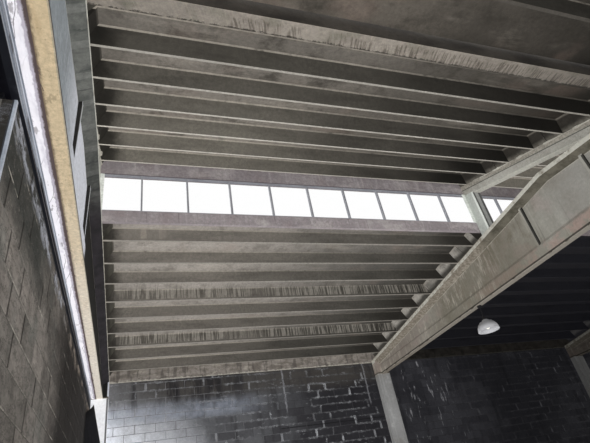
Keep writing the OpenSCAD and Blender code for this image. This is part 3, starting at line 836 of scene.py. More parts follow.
@dataclass(frozen=True)
class FrameConcrete(CastConcrete):
    """Raised frame: rough mortar above a thin line on the beam, smooth pale concrete below."""

    def zones(self, coat: Coat, colour: Wire) -> Wire:
        """Paints the beam's rough upper band, the line below it and the post's two faces, with a painted
        highlight on its arris and painted shade at the edges of its near face.
        """
        drop = SHED_REF + (coat.y - WINDOW_IN) * SHED_FALL - coat.z
        side = coat.faces(Facing.LEFT, 0.8)
        post = coat.y.ramp(POST_Y - 0.02, POST_Y) * (drop > 0.24)
        crumbs = coat.grain(22.0, 4.0, rough=0.7)
        rough = side * drop.fall(0.095, 0.102)
        band = coat.mix(crumbs.ramp(0.42, 0.6), (158, 154, 144), (132, 127, 117))
        colour = colour.layer(rough, band)
        teeth = side * (drop + (crumbs - 0.5) * 0.14).fall(0.012, 0.03)
        colour = colour.layer(teeth * 0.5, (112, 108, 98))
        colour = colour.layer(side * drop.band(0.11, 0.008, 0.004) * 0.85, (62, 60, 56))
        under = coat.faces(Facing.DOWN, 0.5) * (1.0 - post)
        colour = colour.layer(under, coat.mix(crumbs.ramp(0.45, 0.7), (182, 180, 171), (158, 155, 146)))
        colour = colour.layer(side * post, (172, 176, 170))
        # Painted highlight on the post's arris.
        arris = post * coat.faces(Facing.LEFT, 0.2) * coat.y.fall(POST_Y + 0.05, POST_Y + 0.06)
        colour = colour.layer(arris * 0.8, (222, 226, 220))
        # Painted shade at both edges of the post's near face.
        off = (coat.x + 8.0) % BAY - 4.0
        front = coat.mix(off.ramp(-0.056, -0.052), (88, 88, 86), (148, 149, 146))
        front = front.layer(off.ramp(0.036, 0.04), (86, 86, 85))
        return colour.layer(coat.faces(Facing.NEAR, 0.8) * post, front)


@dataclass(frozen=True)
class EaveConcrete(CastConcrete):
    """Beam on the long walls: mottled grey with soot drips and a ragged pale lower edge."""

    def zones(self, coat: Coat, colour: Wire) -> Wire:
        """Paints the mottle, the drips and the edge."""
        inner = (abs(coat.y) < WALL_IN) * abs(coat.facings[2]).fall(0.5, 0.7)
        patch = coat.grain(4.5, 6.0, (0.6, 1.0, 1.4), rough=0.7)
        body = coat.mix(patch.ramp(0.4, 0.6), (128, 122, 116), (102, 96, 90))
        smears = coat.grain(5.0, 5.0, (0.5, 1.0, 1.6), rough=0.7).ramp(0.52, 0.62)
        body = body.layer(smears * 0.5, (160, 154, 144))
        drip = coat.grain(9.0, 4.0, (1.0, 1.0, 0.2)).ramp(0.54, 0.64)
        body = body.layer(drip * 0.5, (54, 50, 48))
        ragged = (coat.grain(11.0, 5.0, rough=0.8) - 0.5) * 0.16
        strip = (coat.z + ragged - EAVE_FOOT).fall(0.015, 0.035)
        body = body.layer(strip * 0.8, (172, 168, 158))
        return colour.layer(inner, body)


@dataclass(frozen=True)
class ColumnConcrete(CastConcrete):
    """Columns: grey, the one in the first far corner white, partly as painted light."""

    def zones(self, coat: Coat, colour: Wire) -> Wire:
        """Paints the white column and the shaded strip at its right edge."""
        corner = (coat.x < -11.0) * (coat.y > 7.0)
        # White on the column in the first far corner, partly painted light.
        white = coat.mix(coat.grain(2.0, 4.0).ramp(0.4, 0.7), (246, 247, 250), (230, 231, 236))
        shadow = coat.faces(Facing.NEAR) * coat.x.ramp(-11.846, -11.838)
        white = white.layer(shadow * 0.85, (48, 48, 50))
        return colour.layer(corner * (coat.y < WALL_IN) * (coat.x > -12.22), white)


@dataclass(frozen=True)
class BandConcrete(CastConcrete):
    """Sill and head of the window: violet grey with pale patches and a dark lower line."""

    def zones(self, coat: Coat, colour: Wire) -> Wire:
        """Paints patches, drips and the line under the head."""
        near = coat.faces(Facing.NEAR, 0.7)
        patch = coat.grain(2.0, 4.0, (0.6, 1.0, 1.5), rough=0.6).ramp(0.52, 0.64)
        colour = colour.layer(near * patch * 0.45, (168, 162, 160))
        drip = coat.grain(12.0, 3.0, (1.0, 1.0, 0.08)).ramp(0.56, 0.66)
        drip = drip * coat.grain(1.4, 3.0).ramp(0.45, 0.6)
        colour = colour.layer(near * drip * 0.4, (176, 170, 164))
        colour = colour.times(1.0 + (coat.z < GLASS_LOW) * 0.25)
        under = coat.z.band(GLASS_HIGH + 0.022, 0.008, 0.006)
        return colour.layer(near * under * 0.7, (70, 66, 72))


@dataclass(frozen=True)
class WallMortar(CastConcrete):
    """Mortar of the block walls, in painted shade inside from the first bay's middle on and in the gable's
    far corner, grey outside.
    """

    def zones(self, coat: Coat, colour: Wire) -> Wire:
        """Paints shade over the inside and greys the outside."""
        # Painted shade from the first bay's middle on.
        colour = colour.dim(coat.x.ramp(-9.0, -6.5) * 0.6)
        # Painted shade in the gable's far corner and along its top.
        gable = coat.x < -12.1
        corner = gable * coat.y.ramp(0.4, 2.6) + gable * coat.z.ramp(3.7, 4.1) * 0.5
        colour = colour.dim(corner.capped(1.0) * 0.6)
        return colour.layer(coat.outside(), (102, 100, 96))


@dataclass(frozen=True)
class Bond:
    """Size of a wall's blocks, of the joints between them and of their edges."""

    length: float = 0.5
    height: float = 0.203
    foot: float = EAVE_FOOT - 26.3 * 0.203   # the courses are counted from the eave
    edge: float = 0.004
    joint: float = 0.01
    recess: float = 0.006


@dataclass(frozen=True)
class BlockFace:
    """Hollow blocks of a wall, each with its own shade, smeared with mortar at the joints."""

    name: str
    run: Facing
    bond: Bond
    start: float
    tones: Tuple[Tone, Tone, Tone] = ((66, 67, 68), (92, 92, 92), (44, 45, 46))
    mortar: Tone = (142, 142, 138)
    smear: float = 0.5
    pick: float = 0.74
    soot: float = 0.45
    broken: float = 0.7
    spread: float = 0.016
    daubs: float = 0.0

    def joints(self, coat: Coat, along: Wire) -> Tuple[Wire, Wire, Wire, Wire]:
        """Finds the place on a wall in its bond.

        Args:
            coat: The material being made.
            along: Place along the wall.

        Returns:
            Height in courses, place in blocks, and distances to the bed and to the upright joint.
        """
        course = (coat.z - self.bond.foot) / self.bond.height
        slide = (along - self.start) / self.bond.length + (course.floor() % 2.0) * 0.5
        to_bed = (0.5 - abs(course % 1.0 - 0.5)) * self.bond.height
        to_end = (0.5 - abs(slide % 1.0 - 0.5)) * self.bond.length
        return course, slide, to_bed, to_end

    def zones(self, coat: Coat, colour: Wire, along: Wire) -> Wire:
        """Paints zones of the wall over its blocks."""
        return colour

    def marks(self, coat: Coat, colour: Wire, along: Wire) -> Wire:
        """Paints marks over the mortar."""
        return colour

    def weathered(self, coat: Coat, luck: Wire, joints: Wire) -> Wire:
        """Returns the outer face: grey blocks with rain streaks and a wet, greenish foot.

        Args:
            coat: The material being made.
            luck: Chance of each block, with patches.
            joints: Share of mortar.

        Returns:
            The colour.
        """
        colour = coat.mix(luck.ramp(0.2, 0.8), (116, 113, 107), (142, 139, 132))
        rain = coat.grain(5.0, 4.0, (1.0, 1.0, 0.1)).ramp(0.48, 0.68) * coat.z.ramp(0.8, 5.0)
        colour = colour.layer(rain * 0.6, (74, 72, 68))
        damp_and_shade = (coat.z + (coat.grain(1.4, 4.0) - 0.5) * 0.9).fall(0.05, 0.7)
        colour = colour.layer(damp_and_shade * 0.7, (72, 76, 60))
        return colour.layer(joints * 0.5, (158, 156, 150))

    def paste(self, coat: Coat, along: Wire) -> Wire:
        """Smears mortar over the joints, here and there over whole upright joints.

        Args:
            coat: The material being made.
            along: Place along the wall.

        Returns:
            The share of mortar.
        """
        course, slide, to_bed, to_end = self.joints(coat, along)
        end_of = slide.rounded(), course.floor()
        wander = (coat.grain(9.0, 4.0, rough=0.7) - 0.5) * 4.5 * self.spread
        bed = (to_bed + wander).fall(0.003, self.spread)
        end = (to_end + wander).fall(0.005, self.spread * 1.2)
        pick = coat.dice(*end_of, 9.0) > self.pick
        seen = coat.grain(1.1, 4.0, at=coat.join(coat.x, coat.y, coat.z * 2.0)).ramp(0.4, 0.6)
        paste = (bed * seen * 0.7 + end * pick * 1.3 * (0.35 + seen)) * self.smear
        speck = coat.grain(15.0, 5.0, rough=0.8).ramp(0.46, 0.58)
        paste = paste * (1.0 - self.broken + speck * self.broken)
        daub = (coat.dice(*end_of, 21.0) > 0.93) * (to_end + wander * 0.4).fall(0.022, 0.03)
        return paste + daub * self.daubs

    def dress(self) -> bpy.types.Material:
        """Returns the finished material."""
        coat = Coat(self.name)
        along = coat.x if self.run is Facing.RIGHT else coat.y
        course, slide, _, _ = self.joints(coat, along)
        low, high, dark = self.tones
        luck = coat.dice(slide.floor(), course.floor(), 3.0) * 0.6 + coat.grain(3.4, 6.0, rough=0.7) * 0.4
        colour = coat.mix(luck.ramp(0.2, 0.8), low, high)
        colour = colour.layer(coat.grain(0.55, 4.0).ramp(0.45, 0.62) * 0.75, dark)
        runs = coat.grain(4.0, 4.0, (1.0, 1.0, 0.12)).ramp(0.5, 0.68)
        colour = self.zones(coat, colour.layer(runs * self.soot, dimmed(dark, 0.55)), along)
        paste = self.paste(coat, along)
        colour = self.marks(coat, colour.layer(paste.capped(0.92), self.mortar), along)
        colour = colour.layer(coat.outside(), self.weathered(coat, luck, paste))
        fine = coat.grain(90.0, 3.0, rough=0.8)
        grit = coat.grain(17.0, 5.0, rough=0.8)
        pits = coat.grain(170.0, 2.0).ramp(0.6, 0.7)
        colour = colour.times(0.8 + fine * 0.4 - pits * 0.3 + (grit - 0.5) * 0.9)
        return coat.finish(colour, 0.93, fine * 0.7 - pits + paste * 0.6, 0.005, 0.6)


@dataclass(frozen=True)
class FarWallFace(BlockFace):
    """Far wall of the first bay: painted light in the low corner, painted shade over the upper right, soot
    drips from the top.
    """

    straight: Tuple[Tuple[float, float], ...] = ((-7.16, 0.5), (-4.56, 0.4))

    def zones(self, coat: Coat, colour: Wire, along: Wire) -> Wire:
        """Paints light into the low corner with a bluish glow, shade over the far part, drips and soot
        below the eave.
        """
        haze = (coat.grain(0.7, 4.0) - 0.5) * 1.6
        # Painted light in the low left corner.
        pale = (along + coat.z * 0.8 + haze + 8.0).fall(-0.4, 2.2)
        cloud = coat.grain(4.0, 5.0, rough=0.7).ramp(0.3, 0.62)
        colour = colour.layer(pale * (0.75 + cloud * 0.25), (218, 221, 228))
        # Painted bluish light near the top at the left.
        blue_light = coat.z.band(4.55, 0.1, 0.25) * (along + haze * 0.4).fall(-8.7, -7.6)
        colour = colour.layer(blue_light * (0.3 + cloud * 0.4), (140, 146, 158))
        # Painted shade over the far part of the wall.
        dark = (along + haze * 0.7).ramp(-8.6, -5.6) * 0.88
        colour = colour.layer(dark, (29, 28, 32))
        drips = coat.grain(3.2, 4.0, (1.0, 1.0, 0.16)).ramp(0.48, 0.62)
        top = (coat.z + haze * 0.3).ramp(4.35, 5.1)
        colour = colour.layer((coat.z + haze * 0.25).ramp(4.6, 5.0) * 0.8, (66, 63, 60))
        colour = colour.layer(drips * top * 0.75, (40, 39, 42))
        soot = coat.grain(6.0, 4.0, (1.0, 1.0, 0.25), rough=0.65).ramp(0.46, 0.56)
        soot = soot * coat.z.ramp(4.55, 4.9) * (along + haze * 0.2).band(-9.6, 0.7, 0.4)
        return colour.layer(soot * 0.7, (34, 33, 35))

    def marks(self, coat: Coat, colour: Wire, along: Wire) -> Wire:
        """Paints two straight upright joints, a long dark line and pale smears."""
        ragged = (coat.grain(7.0, 4.0, rough=0.7) - 0.5) * 0.1
        for x, share in self.straight:
            upright = (along + ragged).band(x, 0.012, 0.02) * coat.z.ramp(4.1, 4.3)
            colour = colour.layer(upright * share, (150, 151, 156))
        line = (coat.z + along * 0.004 + ragged * 0.15).band(3.762, 0.01, 0.008) * along.ramp(-7.45, -7.35)
        colour = colour.layer(line * 0.8, (22, 22, 24))
        smears = coat.grain(6.0, 5.0, (0.5, 1.0, 1.4), rough=0.75).ramp(0.62, 0.68)
        return colour.layer(smears * 0.35 * along.ramp(-11.0, -8.5), (150, 151, 155))


@dataclass(frozen=True)
class DarkWallFace(BlockFace):
    """Far wall beyond the second girder: nearly black as painted shade, with pale upright dashes beside it.
    """

    def zones(self, coat: Coat, colour: Wire, along: Wire) -> Wire:
        """Paints shade over the wall away from the dashes."""
        return colour.dim(along.ramp(-2.8, 0.5) * 0.45)

    def marks(self, coat: Coat, colour: Wire, along: Wire) -> Wire:
        """Paints the dashes."""
        dash = coat.grain(10.0, 4.0, (1.0, 1.0, 0.22), rough=0.6).ramp(0.6, 0.68)
        near = abs(along + 2.7).fall(0.5, 1.5)
        return colour.layer(dash * near * 0.6, (150, 150, 154))


@dataclass(frozen=True)
class GableFace(BlockFace):
    """Left gable: rough warm grey, pale patches under the rails, painted shade towards the far corner."""

    def zones(self, coat: Coat, colour: Wire, along: Wire) -> Wire:
        """Paints rough clouds, greenish patches, the shade under the rails and painted shade in the far
        corner.
        """
        haze = (coat.grain(0.8, 4.0) - 0.5) * 1.6
        cloud = coat.grain(5.0, 6.0, (1.0, 0.6, 1.0), rough=0.78)
        colour = colour.times(1.0 + (cloud - 0.5) * 2.8)
        green = coat.grain(1.3, 4.0).ramp(0.52, 0.66)
        colour = colour.layer(green * 0.4, (84, 90, 86))
        high = (coat.z + haze * 0.2).ramp(3.7, 4.15) * along.fall(-0.6, 0.8)
        colour = colour.layer(high * 0.85, (38, 42, 40))
        # Painted shade deepening to near black in the far corner.
        corner = (along + haze * 0.6).ramp(0.4, 2.6)
        return colour.layer(corner * 0.95, (20, 17, 16))

    def marks(self, coat: Coat, colour: Wire, along: Wire) -> Wire:
        """Paints pale patches along the top, specks, cracks, open upright joints and chalky beds."""
        blobs = coat.grain(6.0, 6.0, (1.0, 0.4, 1.3), rough=0.72)
        top = (coat.z + (coat.grain(2.4, 4.0) - 0.5) * 0.35).ramp(4.4, 4.56)
        pale = coat.mix(along.ramp(1.0, 2.5), (158, 161, 170), (128, 118, 108))
        colour = colour.layer(blobs.ramp(0.48, 0.56) * top * 0.85, pale)
        lip = coat.z.ramp(4.63, 4.66) * coat.grain(8.0, 4.0, (1.0, 0.4, 1.0)).fall(0.5, 0.62)
        colour = colour.layer(lip * 0.8, (30, 30, 34))
        specks = coat.grain(26.0, 5.0, (1.0, 0.5, 1.0), rough=0.8).ramp(0.58, 0.64)
        colour = colour.layer(specks * (0.45 - along.ramp(1.0, 3.5) * 0.35), (146, 140, 132))
        cracks = coat.grain(6.0, 5.0, (1.0, 0.5, 1.4), rough=0.7).band(0.5, 0.01, 0.012)
        colour = colour.layer(cracks * 0.5, (34, 31, 29))
        course, slide, to_bed, to_end = self.joints(coat, along)
        open_end = coat.dice(slide.rounded(), course.floor(), 33.0) > 0.45
        upright = (to_end + (blobs - 0.5) * 0.05).fall(0.012, 0.03)
        colour = colour.layer(upright * open_end * 0.75, (32, 30, 28))
        chalky = coat.dice((slide * 1.5).floor(), course.rounded(), 31.0) > 0.58
        broken = coat.grain(9.0, 5.0, (1.0, 0.6, 1.0), rough=0.75).ramp(0.44, 0.56)
        bed = (to_bed + (blobs - 0.5) * 0.04).fall(0.004, 0.016) * chalky * broken
        return colour.layer(bed * (0.8 - along.ramp(1.0, 3.5) * 0.45), (152, 147, 138))


@dataclass(frozen=True)
class Metal:
    """Zinc coated or painted metal with spangle, dust and scratches."""

    name: str
    body: Tone
    cloud: Tone
    metallic: float = 0.7
    rough: float = 0.45
    coat: float = 0.0

    def lines(self, coat: Coat, colour: Wire) -> Wire:
        """Paints lines and slots over the metal."""
        return colour

    def dress(self) -> bpy.types.Material:
        """Returns the finished material."""
        coat = Coat(self.name)
        spangle = coat.node("ShaderNodeTexVoronoi", None, {"Vector": coat.place, "Scale": 90.0}, 1)
        shine, _, _ = coat.split(spangle)
        clouds = coat.grain(2.5, 4.0)
        colour = coat.mix(clouds.ramp(0.35, 0.7), self.body, self.cloud)
        colour = colour.times(0.9 + shine * 0.2)
        colour = self.lines(coat, colour)
        dust = coat.faces(Facing.UP, 0.7) * coat.grain(14.0, 4.0).ramp(0.35, 0.6)
        colour = colour.layer(dust * 0.5, (150, 145, 136))
        scratches = coat.grain(30.0, 3.0, (1.0, 0.15, 1.0))
        return coat.finish(colour, self.rough + (clouds - 0.5) * 0.25 + dust * 0.2,
                           scratches, 0.001, 0.25, Metallic=self.metallic, Coat_Weight=self.coat)


@dataclass(frozen=True)
class RailMetal(Metal):
    """The rails over the left wall: painted shade below, straight light and dark lines as painted light and
    shade on the channels' lips and mouths, a few slots.

    A line has its height, half its width, its share and its colour.
    """

    stripes: Tuple[Tuple[float, float, float, Tone], ...] = (
        (4.792, 0.010, 0.7, (150, 158, 168)), (4.822, 0.004, 0.7, (60, 64, 72)),
        (4.862, 0.005, 0.6, (84, 86, 94)), (4.903, 0.016, 0.85, (184, 191, 202)),
        (4.935, 0.005, 0.8, (52, 53, 60)), (4.965, 0.005, 0.7, (72, 73, 80)))

    def lines(self, coat: Coat, colour: Wire) -> Wire:
        """Paints shade below, the lines and the slots, and shade towards the far end."""
        inner = coat.faces(Facing.RIGHT, 0.7)
        uneven = (coat.grain(3.0, 4.0) - 0.5) * 0.006
        # Painted light on the channels' lips and painted shade in their mouths.
        for height, half, share, mark in self.stripes:
            colour = colour.layer((coat.z + uneven).band(height, half, 0.004) * share * inner, mark)
        slot = ((coat.y + 0.36) / 0.82 % 1.0).band(0.5, 0.09, 0.01) * coat.z.band(4.865, 0.03, 0.006)
        colour = colour.layer(slot * inner * 0.9, (20, 20, 30))
        # Painted shade towards the far end.
        colour = colour.layer(coat.y.ramp(1.6, 4.0) * 0.8 * inner, (14, 15, 20))
        # Painted shade below the rails' lower edge.
        edge = 4.772 + coat.y.ramp(-1.9, -0.5) * 0.108 + (coat.grain(4.0, 4.0) - 0.5) * 0.02
        black = (coat.z - edge).fall(0.0, 0.006)
        return colour.layer(black * 0.97, (12, 13, 20))


@dataclass(frozen=True)
class JambMetal(Metal):
    """Angles at the doorway: pale zinc in painted shade but for the arris."""

    arris: float = -12.212

    def lines(self, coat: Coat, colour: Wire) -> Wire:
        """Paints shade over all but the arris."""
        uneven = (coat.grain(5.0, 3.0) - 0.5) * 0.004
        # Painted shade over the angles, all but their arris.
        jamb_shade = (coat.x + uneven).fall(-12.216, self.arris)
        return colour.layer(jamb_shade * 0.92, (24, 26, 34))


@dataclass(frozen=True)
class Foam:
    """White foam strip, grey and then brown towards the girder, where it is torn, with thin cuts; the grey
    is painted shade and the brown is dirt and painted shadow.
    """

    name: str

    def dress(self) -> bpy.types.Material:
        """Returns the finished material."""
        coat = Coat(self.name)
        fold = coat.grain(9.0, 4.0, (1.0, 0.35, 1.0))
        colour = coat.mix(fold.ramp(0.5, 0.72) * 0.6, (250, 247, 252), (200, 196, 207))
        cut = ((coat.y * 1.7 + coat.x * 9.0 + coat.grain(1.2, 2.0) * 3.0) % 1.0).band(0.5, 0.014, 0.012)
        colour = colour.layer(cut * coat.grain(0.9, 1.0).ramp(0.45, 0.55), (86, 78, 88))
        blots = coat.grain(11.0, 4.0, (1.0, 0.4, 1.0), rough=0.65).ramp(0.6, 0.66)
        colour = colour.layer(blots * 0.6, (112, 104, 108))
        torn = (coat.grain(22.0, 5.0, (1.0, 0.5, 1.0), rough=0.75) - 0.5) * 0.05
        inside = coat.x + 12.2 + torn + (coat.grain(1.5, 3.0) - 0.5) * 0.03
        # Painted shade in lilac grey, then dark brown that is dirt and painted shadow, towards the girder.
        colour = colour.layer(inside.ramp(0.062, 0.074) * 0.8, (176, 168, 182))
        colour = colour.layer(inside.ramp(0.086, 0.104) * 0.92, (74, 58, 52))
        beads = coat.node("ShaderNodeTexVoronoi", None, {"Vector": coat.place, "Scale": 140.0})
        return coat.finish(colour, 0.9, beads + fold * 2.0, 0.003, 0.6)


@dataclass(frozen=True)
class Pane:
    """Clear window glass with dust along its edges."""

    name: str

    def dress(self) -> bpy.types.Material:
        """Returns the finished material."""
        coat = Coat(self.name)
        dust = coat.grain(3.0, 4.0).ramp(0.4, 0.9)
        colour = coat.mix(dust * 0.1, (255, 255, 255), (244, 247, 247))
        return coat.finish(colour, 0.04 + dust * 0.1, None, Transmission_Weight=1.0, IOR=1.05)


@dataclass(frozen=True)
class Enamel:
    """Glossy enamel or opal glass, a little chalky with age, with painted shade over its upper part where
    set.
    """

    name: str
    body: Tone
    rough: float = 0.25
    painted_shade: float = 0.0
    painted_shade_from: float = 4.4

    def dress(self) -> bpy.types.Material:
        """Returns the finished material."""
        coat = Coat(self.name)
        chalk = coat.grain(8.0, 4.0)
        colour = coat.mix(chalk.ramp(0.4, 0.8) * 0.5, self.body,
                          dimmed(self.body, 0.88))
        # Painted shade over the part above a given height.
        colour = colour.dim((coat.z - self.painted_shade_from).ramp(0.0, 0.12) * self.painted_shade)
        return coat.finish(colour, self.rough + chalk * 0.15, chalk, 0.0006, 0.3, Coat_Weight=0.3)


@dataclass(frozen=True)
class Bitumen:
    """Black felt packing, matt and crumpled."""

    name: str

    def dress(self) -> bpy.types.Material:
        """Returns the finished material."""
        coat = Coat(self.name)
        crumple = coat.grain(22.0, 4.0)
        colour = coat.mix(crumple.ramp(0.5, 0.8), (14, 14, 17), (38, 38, 42))
        return coat.finish(colour, 0.9, crumple, 0.004, 0.6)


@dataclass
class Assembly:
    """A group of pieces that is built and dressed together."""

    body: str = "hall"

    def place(self, name: str, shape: bmesh.types.BMesh, finishes: Sequence[bpy.types.Material],
              slot: str, stands_for: Sequence[str] = (), smooth: bool = False) -> bpy.types.Object:
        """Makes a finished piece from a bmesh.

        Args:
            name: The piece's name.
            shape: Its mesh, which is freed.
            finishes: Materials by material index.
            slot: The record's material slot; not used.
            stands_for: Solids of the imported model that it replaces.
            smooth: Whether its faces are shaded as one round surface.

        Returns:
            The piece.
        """
        bmesh.ops.recalc_face_normals(shape, faces=shape.faces)
        for face in shape.faces:
            face.smooth = smooth
        mesh = bpy.data.meshes.new(name)
        shape.to_mesh(mesh)
        shape.free()
        piece = bpy.data.objects.new(name, mesh)
        for finish in finishes:
            mesh.materials.append(finish)
        bpy.context.scene.collection.objects.link(piece)
        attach(piece, self.body)
        if stands_for:
            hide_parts(*stands_for)
        LOG.info("%s: %d faces", name, len(mesh.polygons))
        return piece

    def keep(self, finish: bpy.types.Material, *names: str) -> None:
        """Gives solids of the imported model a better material.

        Args:
            finish: The material.
            *names: The solids' names.
        """
        for name in names:
            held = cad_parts[name]
            held.data.materials.clear()
            held.data.materials.append(finish)
            LOG.info("%s: keeps its solid, finished as %s", name, finish.name)


def brick(shape: bmesh.types.BMesh, low: Sequence[float], high: Sequence[float]) -> List[Any]:
    """Adds a box between two corners.

    Args:
        shape: The bmesh to add to.
        low: Lowest corner.
        high: Highest corner.

    Returns:
        The new vertices.
    """
    middle = Vector([(a + b) / 2 for a, b in zip(low, high)])
    size = Matrix.Diagonal([b - a for a, b in zip(low, high)] + [1.0])
    made = bmesh.ops.create_cube(shape, size=1.0, matrix=Matrix.Translation(middle) @ size)
    return made["verts"]


def soften(shape: bmesh.types.BMesh, width: float, segments: int = 1) -> None:
    """Bevels every edge of a bmesh.

    Args:
        shape: The bmesh.
        width: Width of the bevel.
        segments: Number of its steps.
    """
    bmesh.ops.bevel(shape, geom=shape.edges[:], offset=width, offset_type="OFFSET", segments=segments,
                    profile=0.5, affect="EDGES", material=-1, clamp_overlap=True)


def turned(shape: bmesh.types.BMesh, outline: Sequence[Tuple[float, float]], centre: Tone,
           steps: int = 48) -> None:
    """Spins a closed outline of radii and heights round an upright axis.

    Args:
        shape: The bmesh to add to.
        outline: Radius and height of its points.
        centre: Where the axis meets height zero.
        steps: Steps of the full turn.
    """
    points = [shape.verts.new((centre[0] + r, centre[1], centre[2] + z)) for r, z in outline]
    edges = [shape.edges.new((a, b)) for a, b in zip(points, points[1:] + points[:1])]
    bmesh.ops.spin(shape, geom=points + edges, cent=centre, axis=(0, 0, 1), angle=math.tau,
                   steps=steps, use_merge=True)
    bmesh.ops.remove_doubles(shape, verts=shape.verts, dist=1e-6)


def crumb_strip(shape: bmesh.types.BMesh, start: Vector, end: Vector, out: Vector, size: float,
                seed: float, tooth: float = 0.0) -> None:
    """Adds a lumpy strip of mortar along an edge, in the corner above it.

    Args:
        shape: The bmesh to add to.
        start: First end of the edge.
        end: Second end.
        out: Direction that the strip bulges to.
        size: Its thickness.
        seed: Changes the lumps.
        tooth: Length over which the strip swells, again and again, or 0.
    """
    run = end - start
    pieces = max(8, int(run.length / 0.035))
    made = bmesh.ops.create_grid(shape, x_segments=pieces, y_segments=3, size=0.5)
    up = out.cross(run).normalized()
    if up.z < 0:
        up = -up
    for corner in made["verts"]:
        along, turn = corner.co.x + 0.5, (corner.co.y + 0.5) * math.pi
        at = start + run * along
        lump = 0.55 + 0.9 * abs(noise.noise(Vector((along * run.length * 9.0, seed, 0.7))))
        lump *= 0.8 + 0.5 * abs(noise.noise(Vector((along * run.length * 19.0, seed + 5.0, turn * 0.3))))
        thick = size * lump
        if tooth:
            thick *= 0.25 + 1.5 * (along * run.length / tooth % 1.0)
        corner.co = at + out * (math.sin(turn) * thick) - up * (math.cos(turn) * thick)


@dataclass
class BlockWall(Assembly):
    """Block walls whose blocks are laid one by one in running bond."""

    uneven: float = 0.003

    def lay(self, shape: bmesh.types.BMesh, low: Vector, high: Vector, face: BlockFace,
            luck: random.Random) -> None:
        """Lays blocks between two corners of a wall.

        Args:
            shape: The bmesh to add to.
            low: Lowest corner of the wall.
            high: Highest corner of the wall.
            face: Finish of the blocks, which holds their bond.
            luck: Source of the small differences.
        """
        bond, start, axis = face.bond, face.start, face.run.value[0]
        deep, half = 1 - axis, bond.joint / 2
        lowest, highest = ((z - bond.foot) / bond.height for z in (low.z, high.z))
        for row in range(math.floor(lowest), math.ceil(highest)):
            foot = max(bond.foot + row * bond.height, low.z)
            top = min(bond.foot + (row + 1) * bond.height, high.z)
            shift = bond.length * 0.5 * (row % 2)
            first = math.floor((low[axis] - start + shift) / bond.length)
            last = math.ceil((high[axis] - start + shift) / bond.length)
            for column in range(first, last):
                left = max(start - shift + column * bond.length, low[axis])
                right = min(start - shift + (column + 1) * bond.length, high[axis])
                if right - left < bond.joint * 2.5:
                    continue
                a, b = [0.0, 0.0, foot + half], [0.0, 0.0, top - half]
                a[axis] = left + (half if left > low[axis] else 0)
                b[axis] = right - (half if right < high[axis] else 0)
                a[deep] = low[deep] + luck.uniform(0.0, self.uneven)
                b[deep] = high[deep] - luck.uniform(0.0, self.uneven)
                brick(shape, a, b)

    def build(self, name: str, face: BlockFace, mortar: bpy.types.Material, gable: bool = False,
              parts: Optional[Sequence[Tuple[Vector, Vector]]] = None) -> None:
        """Builds one wall in place of its solid.

        Args:
            name: The solid's name.
            face: Finish of the blocks, which holds their bond.
            mortar: Finish of the joints.
            gable: Whether its top follows the roof.
            parts: Lowest and highest corners of its rectangles, or the solid's own.
        """
        luck = random.Random(name)
        blocks, core = bmesh.new(), bmesh.new()
        deep, recess = 1 - face.run.value[0], face.bond.recess
        for low, high in parts or [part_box(name)]:
            self.lay(blocks, low, high, face, luck)
            a, b = list(low), list(high)
            a[deep] += recess
            b[deep] -= recess
            brick(core, a, b)
        for shape in (blocks, core):
            if gable:
                for side in (-1, 1):
                    cut = bmesh.ops.bisect_plane(
                        shape, geom=shape.verts[:] + shape.edges[:] + shape.faces[:], dist=1e-5,
                        plane_co=(0, 0, RIDGE), plane_no=(0, side * FALL, 1.0), clear_outer=True)
                    edges = [e for e in cut["geom_cut"] if isinstance(e, bmesh.types.BMEdge)]
                    bmesh.ops.holes_fill(shape, edges=edges)
        soften(blocks, face.bond.edge)
        filler = bpy.data.meshes.new("filler")
        for part in core.faces:
            part.material_index = 1
        core.to_mesh(filler)
        core.free()
        blocks.from_mesh(filler)
        bpy.data.meshes.remove(filler)
        self.place(f"{name}_blocks", blocks, (face.dress(), mortar), "blockwork", (name,))


